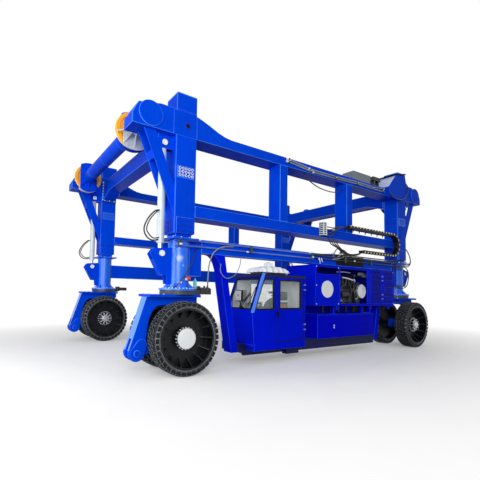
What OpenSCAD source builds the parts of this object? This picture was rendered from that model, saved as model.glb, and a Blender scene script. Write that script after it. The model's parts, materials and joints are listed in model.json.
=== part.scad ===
// Rubber tyred gantry crane: a lower frame on four steered twin-wheel corners,
// and an upper frame that four cylinders lift along square masts.
// X runs along the crane, the driver's side is -Y, Z is up, the ground is Z = 0.

/* [Layout] */
// Distance between column axes along the crane
column_span = 7920; // [7500:10:8500]
// Distance between column axes across the crane
column_gauge = 5010; // [4900:10:5400]
// Lift of the upper frame from its lowest place
lift_travel = 1350; // [600:10:1350]
// Running clearance at bores, pads and rings
run_gap = 0.3; // [0.2:0.1:1]

/* [Wheels] */
// Tyre diameter
tyre_d = 1370; // [1300:10:1400]
// Tyre width
tyre_w = 345; // [300:5:360]
// Tyre bead diameter
bead_d = 1090; // [1000:10:1100]
// Lip of the rim beyond the tyre bead
rim_lip = 8; // [4:1:20]
// Gap between the two tyres of a corner
tyre_gap = 545; // [520:5:620]
// Axle beyond the column axis
axle_offset = 80; // [0:5:100]
// Thickness of the rim's rolled barrel
rim_wall = 18; // [12:1:30]
// Depth of the wheel disc behind the outer lip
dish_depth = 210; // [150:5:230]
// Wheel disc thickness
dish_t = 26; // [16:1:40]
// Gusset ribs on each rim
rim_ribs = 14; // [8:1:20]
// Gusset rib thickness
rib_t = 14; // [8:1:25]
// Hub diameter
hub_d = 330; // [280:2:380]
// Hub cover diameter
hub_cover_d = 350; // [280:2:360]
// Depth of the hub cover behind the tyre face
hub_depth = 66; // [30:2:120]
// Axle shaft diameter
axle_d = 130; // [90:2:160]
// Studs round each hub
hub_studs = 20; // [10:1:28]
// Stud head diameter
stud_d = 26; // [18:1:34]

/* [Bogies] */
// Bogie head plate, underside height
head_z = 1440; // [1420:5:1460]
// Bogie head plate thickness
head_t = 50; // [30:1:60]
// Head plate reach outwards from the column axis
head_out = 715; // [650:5:760]
// Head plate reach inwards from the column axis
head_in = 375; // [340:5:420]
// Head plate width across the crane
head_w = 560; // [480:10:620]
// Bogie leg width across the crane
leg_w = 250; // [220:5:300]
// Leg flange slope, outward run from head to pivot
leg_run = 300; // [200:5:340]
// Pivot height above the ground
pivot_z = 410; // [380:5:460]
// Pivot inset from the leg's outer face
pivot_inset = 125; // [100:5:150]
// Radius of the leg's rounded foot
foot_r = 150; // [120:2:160]
// Lug plate thickness on each side of the foot
lug_t = 20; // [12:1:30]
// Pivot pin diameter
pivot_pin_d = 90; // [60:2:110]
// Swing arm thickness
arm_t = 110; // [80:2:140]
// Swing arm hub diameter round the axle
arm_hub_d = 300; // [240:5:340]

/* [Columns] */
// Round column diameter
column_d = 430; // [380:2:440]
// Height of the column's bottom flange
flange_z = 1570; // [1550:5:1600]
// Bottom flange diameter
flange_d = 760; // [700:5:800]
// Bottom flange thickness
flange_t = 40; // [25:1:60]
// Slew ring diameter
ring_d = 720; // [680:5:760]
// Gussets round each column foot
foot_gussets = 8; // [6:1:12]
// Height of the column's square head plate, top face
column_top_z = 2600; // [2560:5:2640]
// Head plate side
cap_plate_w = 600; // [540:5:640]
// Head plate thickness
cap_plate_t = 36; // [25:1:50]
// Mast side
mast_w = 360; // [330:2:370]

/* [Upper frame] */
// Sleeve side, outside
sleeve_w = 450; // [440:2:470]
// Sleeve plate thickness
sleeve_t = 20; // [12:1:25]
// Height of the sleeve's lower edge at rest
sleeve_z = 2685; // [2660:5:2720]
// Height of the top chord's underside
chord_z = 4625; // [4550:5:4700]
// Top chord depth between the posts
chord_h = 215; // [180:5:260]
// Top chord depth at the sleeves
head_h = 510; // [440:5:560]
// Length of the haunch inside the sleeves
haunch_l = 885; // [700:5:1000]
// Reach of the overhang beyond the sleeve
overhang_l = 920; // [840:10:980]
// Height of the cap box above the chord
cap_h = 355; // [300:5:400]
// Height of the bottom chord's underside
bottom_chord_z = 3035; // [2960:5:3060]
// Bottom chord depth
bottom_chord_h = 235; // [200:5:260]
// Distance of each post from the middle
post_x = 1270; // [1000:10:1500]
// Post width along the crane
post_w = 250; // [200:5:280]
// Post depth across the crane
post_d = 390; // [300:10:440]
// Crossbeam width along the crane
cross_w = 380; // [300:10:420]
// Crossbeam's top above the chord's underside
cross_h = 340; // [280:5:400]
// Crossbeam's underside below the chord's
cross_under = 40; // [0:5:80]
// Length of the crossbeam's sloped knees
cross_knee = 580; // [400:10:700]
// Haunch drop at the crossbeam's ends
cross_drop = 230; // [150:5:260]
// Bolting flange thickness at the crossbeam's ends
cross_flange_t = 40; // [25:1:60]

/* [Hoist sheaves] */
// Sheave axis beyond the sleeve's outer face
sheave_out = 560; // [520:5:600]
// Sheave axis above the chord's underside
sheave_up = 250; // [200:5:300]
// Cross tube diameter
tube_d = 330; // [280:5:350]
// Sheave diameter
sheave_d = 760; // [680:10:780]
// Sheave width
sheave_w = 90; // [60:5:110]
// Middle of each sheave, in from the column axis
sheave_in = 665; // [600:5:720]
// Gap between a sheave and the plates beside it
sheave_gap = 20; // [10:1:40]
// Sheave shaft diameter
shaft_d = 120; // [90:2:140]
// Thickness of the plates beside a sheave
cheek_t = 25; // [15:1:35]
// Radius of those plates
cheek_r = 425; // [400:5:450]
// Reach of those plates towards the sleeve
cheek_in = 390; // [360:5:400]
// Reach of those plates away from the sleeve
cheek_out = 235; // [200:5:260]
// Radial gussets on each of those plates
cheek_gussets = 10; // [8:1:14]
// Round end cover diameter
cover_d = 490; // [440:5:500]
// End cover thickness
cover_t = 30; // [20:1:50]

/* [Struts and cylinders] */
// Strut plate thickness
strut_t = 30; // [20:1:40]
// Distance between the strut plates, inside
strut_gap = 240; // [200:5:260]
// Cylinder axis beyond the column axis
cyl_out = 415; // [380:5:430]
// Barrel diameter
barrel_d = 150; // [130:2:170]
// Barrel wall
barrel_wall = 16; // [10:1:22]
// Rod diameter
rod_d = 92; // [70:2:100]
// Height of the lower cylinder pin
low_pin_z = 2280; // [2240:5:2300]
// Height of the upper cylinder pin at rest
top_pin_z = 4460; // [4440:5:4540]
// Lower end of the barrels above the lower pin, at rest
barrel_rise = 205; // [190:5:400]
// Cylinder pin diameter
cyl_pin_d = 64; // [50:2:80]
// Ear plate thickness
ear_t = 25; // [16:1:35]
// Width of the cylinder eyes
eye_w = 110; // [90:2:120]

/* [Lower frame] */
// Near sill underside height
near_sill_z = 2340; // [2300:5:2360]
// Near sill depth
near_sill_h = 280; // [240:5:300]
// Near sill width across the crane
near_sill_w = 270; // [240:5:290]
// Stub box length at each near column
stub_l = 245; // [200:5:260]
// Stub box underside height
stub_z = 1867; // [1800:1:1950]
// Far sill underside height
far_sill_z = 1940; // [1900:10:2000]
// Far sill depth
far_sill_h = 410; // [380:10:450]
// Far sill width
far_sill_w = 250; // [220:5:280]

/* [Drop frame] */
// Leg's outer edge at the sill, in from the column axis
drop_top_in = 880; // [820:10:940]
// Leg's outer edge at the ground end, in from the column axis
drop_foot_in = 1260; // [1200:10:1320]
// Leg width along the crane
drop_leg_w = 170; // [150:5:220]
// Height where the curved gusset meets the leg
gusset_z = 1750; // [1700:10:1850]
// Width of the curved gusset at the sill
gusset_l = 170; // [120:5:220]
// Height of the platform underside
platform_z = 260; // [240:5:280]
// Platform depth
platform_h = 180; // [160:5:200]
// Inner edge of the platform, from the middle of the crane
platform_in = 2050; // [2000:10:2200]

/* [Cab] */
// Outer face of cab and engine bay, out from the near sill
body_proud = 260; // [220:5:300]
// Depth of cab and engine bay across the crane
body_depth = 950; // [850:10:1000]
// Cab front at the floor, in from the column axis
cab_front_in = 1671; // [1640:1:1720]
// Cab front at the windscreen's foot, in from the column axis
cab_nose_in = 1601; // [1580:1:1640]
// Cab front at the roof, in from the column axis
cab_brow_in = 1901; // [1850:1:1950]
// Cab length at the floor
cab_l = 1589; // [1500:1:1620]
// Lower edge of the cab's skin
cab_skirt_z = 300; // [270:5:320]
// Height of the window sills
cab_sill_z = 1150; // [1130:5:1170]
// Roof height
cab_roof_z = 1975; // [1960:5:2010]
// Cab wall thickness
cab_wall = 40; // [30:1:50]
// Width of the cab's window posts
cab_post = 70; // [50:2:90]
// Door rear edge, in front of the cab's rear wall
door_rear = 60; // [50:2:80]
// Door width
door_w = 880; // [820:5:900]
// Gap round the door
door_gap = 8; // [6:1:12]
// Door thickness
door_t = 36; // [30:1:38]
// Glass thickness
glass_t = 8; // [6:1:10]

/* [Engine bay] */
// Gap between the cab and the bay
bay_gap = 366; // [300:2:420]
// Right end of the bay's deep part, in from the column axis
bay_deep_in = 1420; // [1400:10:1500]
// Right end of the shallow cover, in from the column axis
bay_cover_in = 816; // [780:2:860]
// Bay floor height
bay_z = 1267; // [1250:1:1290]
// Bay roof height
bay_top_z = 2300; // [2270:5:2310]
// Bay wall thickness
bay_wall = 30; // [20:1:40]
// Left edge of the bay's opening
open_x0 = 600; // [570:5:630]
// Right edge of the bay's opening
open_x1 = 1835; // [1780:5:1860]
// Right edge of the louvred door
louvre_x1 = 2498; // [2450:2:2520]
// Lower edge of the slot left of the opening
slot_z = 2070; // [2000:10:2180]
// Slats in each louvre
slats = 12; // [8:1:16]

/* [Tank] */
// Left end of the tank, right of the bay's left end
tank_set = 176; // [120:2:220]
// Right end of the tank, in from the column axis
tank_end_in = 1736; // [1700:2:1800]
// Top of the tank
tank_top_z = 1060; // [1040:5:1080]
// Outer face of the tank, behind the face of the bay
tank_back = 80; // [40:5:120]

/* [Energy chain] */
// Chain centre line, out from the sleeves
chain_out = 100; // [90:5:120]
// Chain width
chain_w = 150; // [120:5:160]
// Chain link height
link_h = 70; // [60:2:80]
// Height of the lower run's centre
chain_low_z = 2775; // [2750:5:2800]
// Radius of the chain's bend
chain_r = 310; // [280:5:320]
// Centre of the chain's bend along the crane
chain_x = 3160; // [3050:10:3200]
// Left end of the upper run
chain_up_x = 1080; // [950:10:1200]
// Left end of the lower run
chain_low_x = 1712; // [1600:2:1800]

/* [Fittings] */
// Middle of the grey cabinet along the crane
cabinet_x = 1925; // [1800:5:2100]
// Cabinet length
cabinet_l = 830; // [700:10:900]
// Cabinet height
cabinet_h = 260; // [200:10:320]
// Thickness of the guard on the near right head
guard_t = 120; // [80:5:150]
// Reach of that guard, in from the column axis
guard_in = 978; // [900:2:1020]
// Top of that guard above the chord's underside
guard_up = 767; // [700:1:820]
// Middle of the chain's comb along the crane
comb_x = 50; // [0:10:100]
// Width of that comb
comb_w = 140; // [100:10:300]
// Thickness of the cover plates over the slide pads
pad_cover_t = 8; // [5:1:12]

/* [Hidden] */

$fn = 48;
col_x = column_span / 2;
col_y = column_gauge / 2;
axle_z = tyre_d / 2;
sleeve_in = sleeve_w - 2 * sleeve_t;
half_sleeve = sleeve_w / 2;
head_top_z = chord_z + head_h;
cap_top_z = head_top_z + cap_h;
cap_lid_t = 20;
pad_step = 1185;
mast_top_z = cap_top_z - cap_lid_t - 60;
sheave_x = col_x + half_sleeve + sheave_out;
sheave_y = col_y - sheave_in;
sheave_z = chord_z + sheave_up;
sill_face = col_y + near_sill_w / 2;
body_out = sill_face + body_proud;
body_in = body_out - body_depth;
drop_top_x = col_x - drop_top_in;
drop_foot_x = col_x - drop_foot_in;
blue = "royalblue";
black = "#202224";

// Repeats its children at the four corners, +X and +Y pointing outwards
module corners() {
    for (sx = [1, -1], sy = [1, -1]) corner(sx, sy) children();
}

// One corner: sx and sy are the signs of its X and Y
module corner(sx, sy) {
    mirror([sx < 0 ? 1 : 0, 0, 0]) mirror([0, sy < 0 ? 1 : 0, 0])
        translate([col_x, col_y, 0]) children();
}

// Both sides of the crane, +Y pointing outwards
module sides() {
    for (sy = [1, -1]) mirror([0, sy < 0 ? 1 : 0, 0]) children();
}

// Both ends of the crane, +X pointing outwards
module ends() {
    for (sx = [1, -1]) mirror([sx < 0 ? 1 : 0, 0, 0]) children();
}

// An XZ outline extruded along Y from y0 to y1
module slab_y(y0, y1) {
    translate([0, y1, 0]) rotate([90, 0, 0]) linear_extrude(y1 - y0) children();
}

// A YZ outline extruded along X from x0 to x1
module slab_x(x0, x1) {
    translate([x0, 0, 0]) rotate([90, 0, 90]) linear_extrude(x1 - x0) children();
}

// A box from its low corner to its high corner
module block(low, high) {
    translate(low) cube([high[0] - low[0], high[1] - low[1], high[2] - low[2]]);
}

// A cylinder along Y, centred on its axis point
module pin_y(d, y0, y1) {
    translate([0, y1, 0]) rotate([90, 0, 0]) cylinder(d = d, h = y1 - y0);
}

/* Lower frame */

module round_columns() {
    shaft_top = column_top_z - cap_plate_t;
    gusset_h = 130;
    gusset_reach = (flange_d - column_d) / 2 - 40;
    color(blue) corners() {
        translate([0, 0, flange_z]) cylinder(d = flange_d, h = flange_t);
        translate([0, 0, flange_z]) cylinder(d = column_d, h = shaft_top - flange_z);
        for (i = [0 : foot_gussets - 1]) rotate(i * 360 / foot_gussets)
            slab_y(-8, 8) polygon([
                [column_d / 2 - 10, flange_z + flange_t], [column_d / 2 + gusset_reach, flange_z + flange_t],
                [column_d / 2 - 10, flange_z + flange_t + gusset_h]]);
    }
}

module column_head_plates() {
    color(blue) corners()
        translate([-cap_plate_w / 2, -cap_plate_w / 2, column_top_z - cap_plate_t])
            cube([cap_plate_w, cap_plate_w, cap_plate_t]);
}

// Slew ring, pinion housing and motor of each corner
module slew_drives() {
    gear_d = 140;
    gear_x = -flange_d / 2 - gear_d / 2 - run_gap;
    motor_d = 100;
    motor_l = 300;
    color(black) corners() {
        translate([0, 0, head_z + head_t + run_gap])
            cylinder(d = ring_d, h = flange_z - head_z - head_t - run_gap);
        block([gear_x, -30, head_z + head_t + 5], [-ring_d / 2 + 40, 30, flange_z]);
        translate([gear_x, 0, flange_z - 50]) cylinder(d = gear_d, h = 150);
        translate([gear_x - motor_l, 0, flange_z + 25]) rotate([0, 90, 0])
            cylinder(d = motor_d, h = motor_l);
    }
}

module ear_outline() {
    polygon([[0, low_pin_z + 126], [column_d / 2 + 7, low_pin_z + 126], [cyl_out + 153, low_pin_z + 94],
        [cyl_out + 234, low_pin_z - 16], [cyl_out + 10, stub_z - 7], [column_d / 2 + 91, stub_z - 11],
        [column_d / 2 + 75, stub_z - 177], [0, stub_z - 177]]);
}

module cylinder_brackets() {
    inner = eye_w / 2 + 5;
    web_t = 20;
    color(blue) corners() difference() {
        union() {
            for (s = [-1, 1]) translate([0, s * (inner + ear_t / 2), 0])
                slab_y(-ear_t / 2, ear_t / 2) ear_outline();
            slab_y(-inner, inner) polygon([
                [cyl_out + 175, low_pin_z - 125], [cyl_out + 10, stub_z - 7],
                [column_d / 2 + 91, stub_z - 11], [column_d / 2 + 91, stub_z + web_t],
                [cyl_out, stub_z + web_t], [cyl_out + 145, low_pin_z - 125]]);
        }
        translate([cyl_out, 0, low_pin_z]) pin_y(cyl_pin_d, -sleeve_w / 2, sleeve_w / 2);
        translate([0, 0, flange_z]) cylinder(d = column_d, h = column_top_z - flange_z);
    }
}

module masts() {
    color("cornflowerblue") corners()
        block([-mast_w / 2, -mast_w / 2, column_top_z], [mast_w / 2, mast_w / 2, mast_top_z]);
}

module near_sill() {
    x1 = col_x - column_d / 2 - stub_l;
    color(blue) block([-x1, -sill_face, near_sill_z],
        [x1, -sill_face + near_sill_w, near_sill_z + near_sill_h]);
}

module stub_boxes() {
    color(blue) for (sx = [1, -1]) corner(sx, -1)
        difference() {
            block([-column_d / 2 - stub_l, -near_sill_w / 2, stub_z],
                [0, near_sill_w / 2, column_top_z - cap_plate_t]);
            translate([0, 0, flange_z]) cylinder(d = column_d, h = column_top_z);
        }
}

module far_sill() {
    color(blue) difference() {
        block([-col_x, col_y - far_sill_w / 2, far_sill_z],
            [col_x, col_y + far_sill_w / 2, far_sill_z + far_sill_h]);
        for (s = [-1, 1]) translate([s * col_x, col_y, flange_z])
            cylinder(d = column_d, h = column_top_z);
    }
}

module drop_legs() {
    y0 = -sill_face;
    slope = (drop_top_x - drop_foot_x) / (near_sill_z - platform_z);
    gusset_x = drop_foot_x + slope * (gusset_z - platform_z);
    arc_r = near_sill_z - gusset_z;
    color(blue) ends() slab_y(y0, y0 + near_sill_w) polygon(concat(
        [[drop_foot_x - drop_leg_w, platform_z], [drop_foot_x, platform_z], [gusset_x, gusset_z]],
        [for (i = [1 : 6]) [drop_top_x + gusset_l + (gusset_x - drop_top_x - gusset_l) * cos(i * 15),
            gusset_z + arc_r * sin(i * 15)]],
        [[drop_top_x - drop_leg_w, near_sill_z]]));
}

module platform() {
    x1 = drop_foot_x - drop_leg_w;
    color(blue) block([-x1, -sill_face, platform_z], [x1, -platform_in, platform_z + platform_h]);
}

module cylinder_rods() {
    rod_hold = 465;
    rod_top = min(top_pin_z - 160, low_pin_z + barrel_rise + lift_travel + rod_hold);
    eye_d = 150;
    pin_half = eye_w / 2 + 5 + ear_t + 20;
    color("silver") corners() translate([cyl_out, 0, 0]) {
        translate([0, 0, low_pin_z]) cylinder(d = rod_d, h = rod_top - low_pin_z);
        translate([0, 0, low_pin_z]) pin_y(eye_d, -eye_w / 2, eye_w / 2);
        translate([0, 0, low_pin_z]) pin_y(cyl_pin_d, -pin_half, pin_half);
    }
}

/* Cab */

cab_floor_z = platform_z + platform_h;
cab_front_x = cab_front_in - col_x;
cab_nose_x = cab_nose_in - col_x;
cab_brow_x = cab_brow_in - col_x;
cab_rear_x = cab_front_x + cab_l;
door_x1 = cab_rear_x - door_rear;
door_x0 = door_x1 - door_w;
door_z0 = cab_floor_z + cab_wall;
door_z1 = cab_roof_z - cab_wall - 20;
pane_z0 = cab_sill_z + 40;
pane_z1 = cab_roof_z - 90;
lean = (cab_brow_x - cab_nose_x) / (cab_roof_z - cab_sill_z);

// Place of the windscreen's outer face at a height
function screen_x(z) = cab_nose_x + lean * (z - cab_sill_z);

// Side outline of the cab, moved inwards by t
module cab_outline(t) {
    polygon([[cab_front_x + t, cab_floor_z + t], [cab_rear_x - t, cab_floor_z + t],
        [cab_rear_x - t, cab_roof_z - t], [screen_x(cab_roof_z - t) + t, cab_roof_z - t],
        [cab_nose_x + t, cab_sill_z]]);
}

// Outline of the quarter light between windscreen and door
module quarter_light() {
    rear = door_x0 - cab_post;
    polygon([[screen_x(pane_z0) + cab_post, pane_z0], [rear, pane_z0], [rear, pane_z1],
        [screen_x(pane_z1) + cab_post, pane_z1]]);
}

module cab_shell() {
    in_y0 = -body_out + cab_wall;
    in_y1 = -body_in - cab_wall;
    color(blue) difference() {
        union() {
            slab_y(-body_out, -body_in) cab_outline(0);
            block([cab_front_x, -body_out, cab_skirt_z], [cab_rear_x, -sill_face - 5, cab_floor_z]);
        }
        slab_y(in_y0, in_y1) cab_outline(cab_wall);
        block([cab_nose_x - 10, -body_out + cab_post, pane_z0],
            [cab_brow_x + 150, -body_in - cab_post, pane_z1]);
        block([cab_rear_x - 2 * cab_wall, -body_out + cab_post, pane_z0],
            [cab_rear_x + 10, -body_in - cab_post, pane_z1]);
        slab_y(-body_out - 10, in_y0 + 10) quarter_light();
        block([door_x0, -body_out - 10, door_z0], [door_x1, in_y0 + 10, door_z1]);
        block([door_x0, in_y1 - 10, pane_z0], [door_x1, -body_in + 10, pane_z1]);
    }
}

module cab_glass() {
    mid = (cab_wall - glass_t) / 2;
    color("lightblue", 0.4) {
        slab_y(-body_out + cab_post, -body_in - cab_post) polygon([
            [screen_x(pane_z0) + mid, pane_z0], [screen_x(pane_z0) + mid + glass_t, pane_z0],
            [screen_x(pane_z1) + mid + glass_t, pane_z1], [screen_x(pane_z1) + mid, pane_z1]]);
        slab_y(-body_out + mid, -body_out + mid + glass_t) quarter_light();
        block([door_x0, -body_in - mid - glass_t, pane_z0], [door_x1, -body_in - mid, pane_z1]);
        block([cab_rear_x - mid - glass_t, -body_out + cab_post, pane_z0],
            [cab_rear_x - mid, -body_in - cab_post, pane_z1]);
    }
}

module cab_seat() {
    seat_x = (cab_front_x + cab_rear_x) / 2 + 130;
    seat_y = -(body_out + body_in) / 2;
    cushion_z = 420;
    cushion_t = 100;
    cushion_l = body_depth * 0.505;
    cushion_w = body_depth * 0.485;
    back_h = 560;
    back_t = 85;
    back_rake = 95;
    back_z = cushion_z + cushion_t;
    base_d = cushion_l * 0.625;
    color("dimgray") translate([seat_x, seat_y, cab_floor_z + cab_wall]) {
        cylinder(d = base_d, h = 60);
        cylinder(d = base_d / 3, h = cushion_z);
        block([-cushion_l / 2, -cushion_w / 2, cushion_z], [cushion_l / 2, cushion_w / 2, back_z]);
        slab_y(-cushion_w * 0.455, cushion_w * 0.455) polygon([
            [cushion_l / 2 - back_t, back_z], [cushion_l / 2, back_z],
            [cushion_l / 2 + back_rake, back_z + back_h],
            [cushion_l / 2 + back_rake - back_t, back_z + back_h]]);
    }
}

module cab_console() {
    console_y = (body_out + body_in) / 2;
    console_half = 260;
    foot_x = cab_front_x + cab_wall + 40;
    color("dimgray") slab_y(-console_y - console_half, -console_y + console_half) polygon([
        [foot_x, cab_floor_z + cab_wall], [foot_x + 200, cab_floor_z + cab_wall],
        [foot_x + 260, cab_sill_z - 160], [foot_x + 60, cab_sill_z - 60], [foot_x, cab_sill_z - 60]]);
}

hinge_d = 30;
hinge_h = 90;
hinge_pin_d = 14;
door_hinge_x = door_x1 - door_gap / 2;
door_hinge_y = -body_out - hinge_d / 2 - 1;
door_hinges = [door_z0 + 250, door_z1 - 250];
door_pane = [[door_x0 + 80, pane_z0 + 10], [door_x1 - 80, pane_z1 - 20]];

module cab_door() {
    inner_y = -body_out + door_t;
    color(blue) {
        difference() {
            block([door_x0 + door_gap, -body_out, door_z0 + door_gap],
                [door_x1 - door_gap, inner_y, door_z1 - door_gap]);
            block([door_pane[0][0], -body_out - 10, door_pane[0][1]],
                [door_pane[1][0], inner_y + 10, door_pane[1][1]]);
        }
        for (z = door_hinges) difference() {
            union() {
                translate([door_hinge_x, door_hinge_y, z]) cylinder(d = hinge_d, h = hinge_h);
                block([door_hinge_x - 60, -body_out - 8, z], [door_hinge_x, -body_out, z + hinge_h]);
            }
            translate([door_hinge_x, door_hinge_y, z - 1])
                cylinder(d = hinge_pin_d + 2 * run_gap, h = hinge_h + 2);
        }
    }
}

module door_glass() {
    mid = (door_t - glass_t) / 2;
    color("lightblue", 0.4) block([door_pane[0][0], -body_out + mid, door_pane[0][1]],
        [door_pane[1][0], -body_out + mid + glass_t, door_pane[1][1]]);
}

module cab_hinges() {
    color(black) for (z = door_hinges) {
        translate([door_hinge_x, door_hinge_y, z - 30]) cylinder(d = hinge_pin_d, h = hinge_h + 60);
        for (low = [z - 30, z + hinge_h + 1])
            block([door_hinge_x - 8, door_hinge_y - 8, low], [door_hinge_x + 60, -body_out, low + 29]);
    }
}

/* Engine bay and tank */

bay_cover_y = -sill_face - 5;
bay_x0 = cab_rear_x + bay_gap;
bay_x1 = col_x - bay_deep_in;
bay_x2 = col_x - bay_cover_in;
tank_x0 = bay_x0 + tank_set;
tank_x1 = col_x - tank_end_in;
tank_out = body_out - tank_back;
bay_front = -body_out;

module engine_bay() {
    rail = 60;
    t = bay_wall;
    color(blue) difference() {
        union() {
            block([bay_x0, bay_front, bay_z], [bay_x1, -body_in, bay_top_z]);
            block([bay_x1, bay_front, bay_z], [bay_x2, bay_cover_y, bay_top_z]);
        }
        block([bay_x0 + t, bay_front + t, bay_z + t], [bay_x1 - t, -body_in - t, bay_top_z - t]);
        block([bay_x1, bay_front + t, bay_z + t], [bay_x2 - t, bay_cover_y - t, bay_top_z - t]);
        block([bay_x0 + rail, bay_front - 10, slot_z],
            [open_x0 + 10, bay_front + t + 10, bay_top_z - rail]);
        for (span = [[open_x0, open_x1], [open_x1 + rail, louvre_x1], [louvre_x1 + rail, bay_x2 - rail]])
            block([span[0], bay_front - 10, bay_z + rail],
                [span[1], bay_front + t + 10, bay_top_z - rail]);
    }
    color(blue) translate([louvre_x1 + rail, bay_front, bay_z + rail])
        louvre_panel(bay_x2 - louvre_x1 - 2 * rail, bay_top_z - bay_z - 2 * rail);
}

// A louvred panel in the XZ plane with its outer face at y = 0 and its slats standing on it
module louvre_panel(w, h) {
    border = 50;
    pitch = (h - 2 * border) / slats;
    block([0, 4, 0], [w, 24, h]);
    for (i = [0 : slats - 1]) translate([0, 0, border + i * pitch]) slab_x(border, w - border)
        polygon([[4, pitch * 0.95], [-8, pitch * 0.25], [-4, pitch * 0.15], [4, pitch * 0.6]]);
}

bay_door_x0 = open_x1 + 60;
bay_door_z0 = bay_z + 60;
bay_door_h = bay_top_z - bay_z - 120;
bay_hinge_x = louvre_x1 - door_gap / 2;
bay_hinge_y = bay_front - hinge_d / 2 - 9;
bay_hinges = [bay_door_z0 + 150, bay_door_z0 + bay_door_h - 240];

module engine_door() {
    color(blue) {
        translate([bay_door_x0 + door_gap, bay_front - 4, bay_door_z0 + door_gap])
            louvre_panel(louvre_x1 - bay_door_x0 - 2 * door_gap, bay_door_h - 2 * door_gap);
        for (z = bay_hinges) difference() {
            union() {
                translate([bay_hinge_x, bay_hinge_y, z]) cylinder(d = hinge_d, h = hinge_h);
                block([bay_hinge_x - 45, bay_hinge_y - 4, z], [bay_hinge_x, bay_hinge_y + 4, z + hinge_h]);
                block([bay_hinge_x - 45, bay_hinge_y - 4, z], [bay_hinge_x - 37, bay_front, z + hinge_h]);
            }
            translate([bay_hinge_x, bay_hinge_y, z - 1])
                cylinder(d = hinge_pin_d + 2 * run_gap, h = hinge_h + 2);
        }
    }
}

module bay_hinge_pins() {
    color(black) for (z = bay_hinges) {
        translate([bay_hinge_x, bay_hinge_y, z - 30]) cylinder(d = hinge_pin_d, h = hinge_h + 60);
        for (low = [z - 30, z + hinge_h + 1])
            block([bay_hinge_x - 8, bay_hinge_y - 8, low], [bay_hinge_x + 50, bay_front, low + 29]);
    }
}

module engine_block() {
    x0 = open_x0 + 60;
    x1 = open_x1 - 60;
    y_mid = -(body_out + body_in) / 2;
    floor_z = bay_z + bay_wall;
    rail_h = 90;
    sump_h = 330;
    head_rise = 220;
    fan_d = 560;
    filter_d = 330;
    filter_l = 130;
    shaft_z = floor_z + rail_h + sump_h - 90;
    color(black) {
        for (s = [-1, 1]) block([x0, y_mid + s * 220 - 30, floor_z],
            [x1, y_mid + s * 220 + 30, floor_z + rail_h]);
        block([x0 + 80, y_mid - 270, floor_z + rail_h], [x1 - 180, y_mid + 270, floor_z + rail_h + sump_h]);
        block([x0 + 140, y_mid - 190, floor_z + rail_h + sump_h],
            [x1 - 260, y_mid + 190, floor_z + rail_h + sump_h + head_rise]);
        translate([x1 - 180, y_mid, shaft_z]) rotate([0, 90, 0]) cylinder(d = fan_d, h = 60);
        translate([x1 - 95, y_mid, shaft_z + 40]) pin_y(filter_d, -290 - filter_l, -290);
        translate([x1 - 95, y_mid, shaft_z + 40]) pin_y(120, -300, -30);
    }
}

// Tank on the platform, with the feet and the bearer that carry the bay
module tank() {
    foot_w = 90;
    foot_d = 100;
    feet = [open_x0 - 40, open_x1 - 40, tank_x1 - foot_w];
    color(blue) {
        block([tank_x0, -tank_out, cab_floor_z], [tank_x1, -platform_in, tank_top_z]);
        for (x = feet) block([x - foot_w / 2, -tank_out + 40, tank_top_z],
            [x + foot_w / 2, -tank_out + 40 + foot_d, bay_z]);
        block([tank_x0 + foot_w, -platform_in - 40 - foot_d, tank_top_z],
            [tank_x1 - foot_w / 2, -platform_in - 40, bay_z]);
    }
}

/* Upper frame */

// Faces of the sleeves across the crane, one plate out and one in
module sleeve_front_plates() {
    cover_w = 380;
    low_cover_h = 315;
    high_cover_h = 230;
    high_cover_z = sleeve_z + pad_step - 85;
    color(blue) corners() {
        for (s = [-1, 1]) translate([0, s * (half_sleeve - sleeve_t / 2), 0])
            block([-half_sleeve, -sleeve_t / 2, sleeve_z],
                [half_sleeve, sleeve_t / 2, cap_top_z - cap_lid_t]);
        block([-cover_w / 2, half_sleeve, sleeve_z],
            [cover_w / 2, half_sleeve + pad_cover_t, sleeve_z + low_cover_h]);
        block([-cover_w / 2, half_sleeve, high_cover_z],
            [cover_w / 2, half_sleeve + pad_cover_t, high_cover_z + high_cover_h]);
    }
}

module sleeve_side_plates() {
    color(blue) corners() for (s = [-1, 1])
        block([s * (half_sleeve - sleeve_t / 2) - sleeve_t / 2, -half_sleeve + sleeve_t, sleeve_z],
            [s * (half_sleeve - sleeve_t / 2) + sleeve_t / 2, half_sleeve - sleeve_t, cap_top_z - cap_lid_t]);
}

module sleeve_caps() {
    color(blue) corners() block([-half_sleeve, -half_sleeve, cap_top_z - cap_lid_t],
        [half_sleeve, half_sleeve, cap_top_z]);
}

// Slide pads inside the sleeves, at the lower edge and at mid height
module wear_pads() {
    pad_w = 240;
    pad_h = 220;
    pad_t = (sleeve_in - mast_w) / 2 - run_gap;
    levels = [sleeve_z + 40, sleeve_z + pad_step];
    color(black) corners() for (z = levels, a = [0 : 3]) rotate(a * 90)
        block([sleeve_in / 2 - pad_t, -pad_w / 2, z], [sleeve_in / 2, pad_w / 2, z + pad_h]);
}

inner_x = col_x - half_sleeve;
outer_x = col_x + half_sleeve;
thin_top = chord_z + chord_h;

module top_chords() {
    color(blue) sides() block([-inner_x, col_y - half_sleeve, chord_z],
        [inner_x, col_y + half_sleeve, thin_top]);
}

// Top line of a haunch from the sleeve down to the chord, in corner axes
haunch_line = [for (b = [[0, 1], [0.152, 0.86], [0.367, 0.6], [0.605, 0.28], [0.8, 0.09]])
    [-half_sleeve - haunch_l * b[0], thin_top + (head_top_z - 30 - thin_top) * b[1]]];

// Curved-down haunches that bring the deep head down to the thin chord
module chord_haunches() {
    color(blue) corners() slab_y(-half_sleeve, half_sleeve) polygon(concat(
        [[-half_sleeve - haunch_l, thin_top], [-half_sleeve, thin_top]], haunch_line));
}

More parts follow.
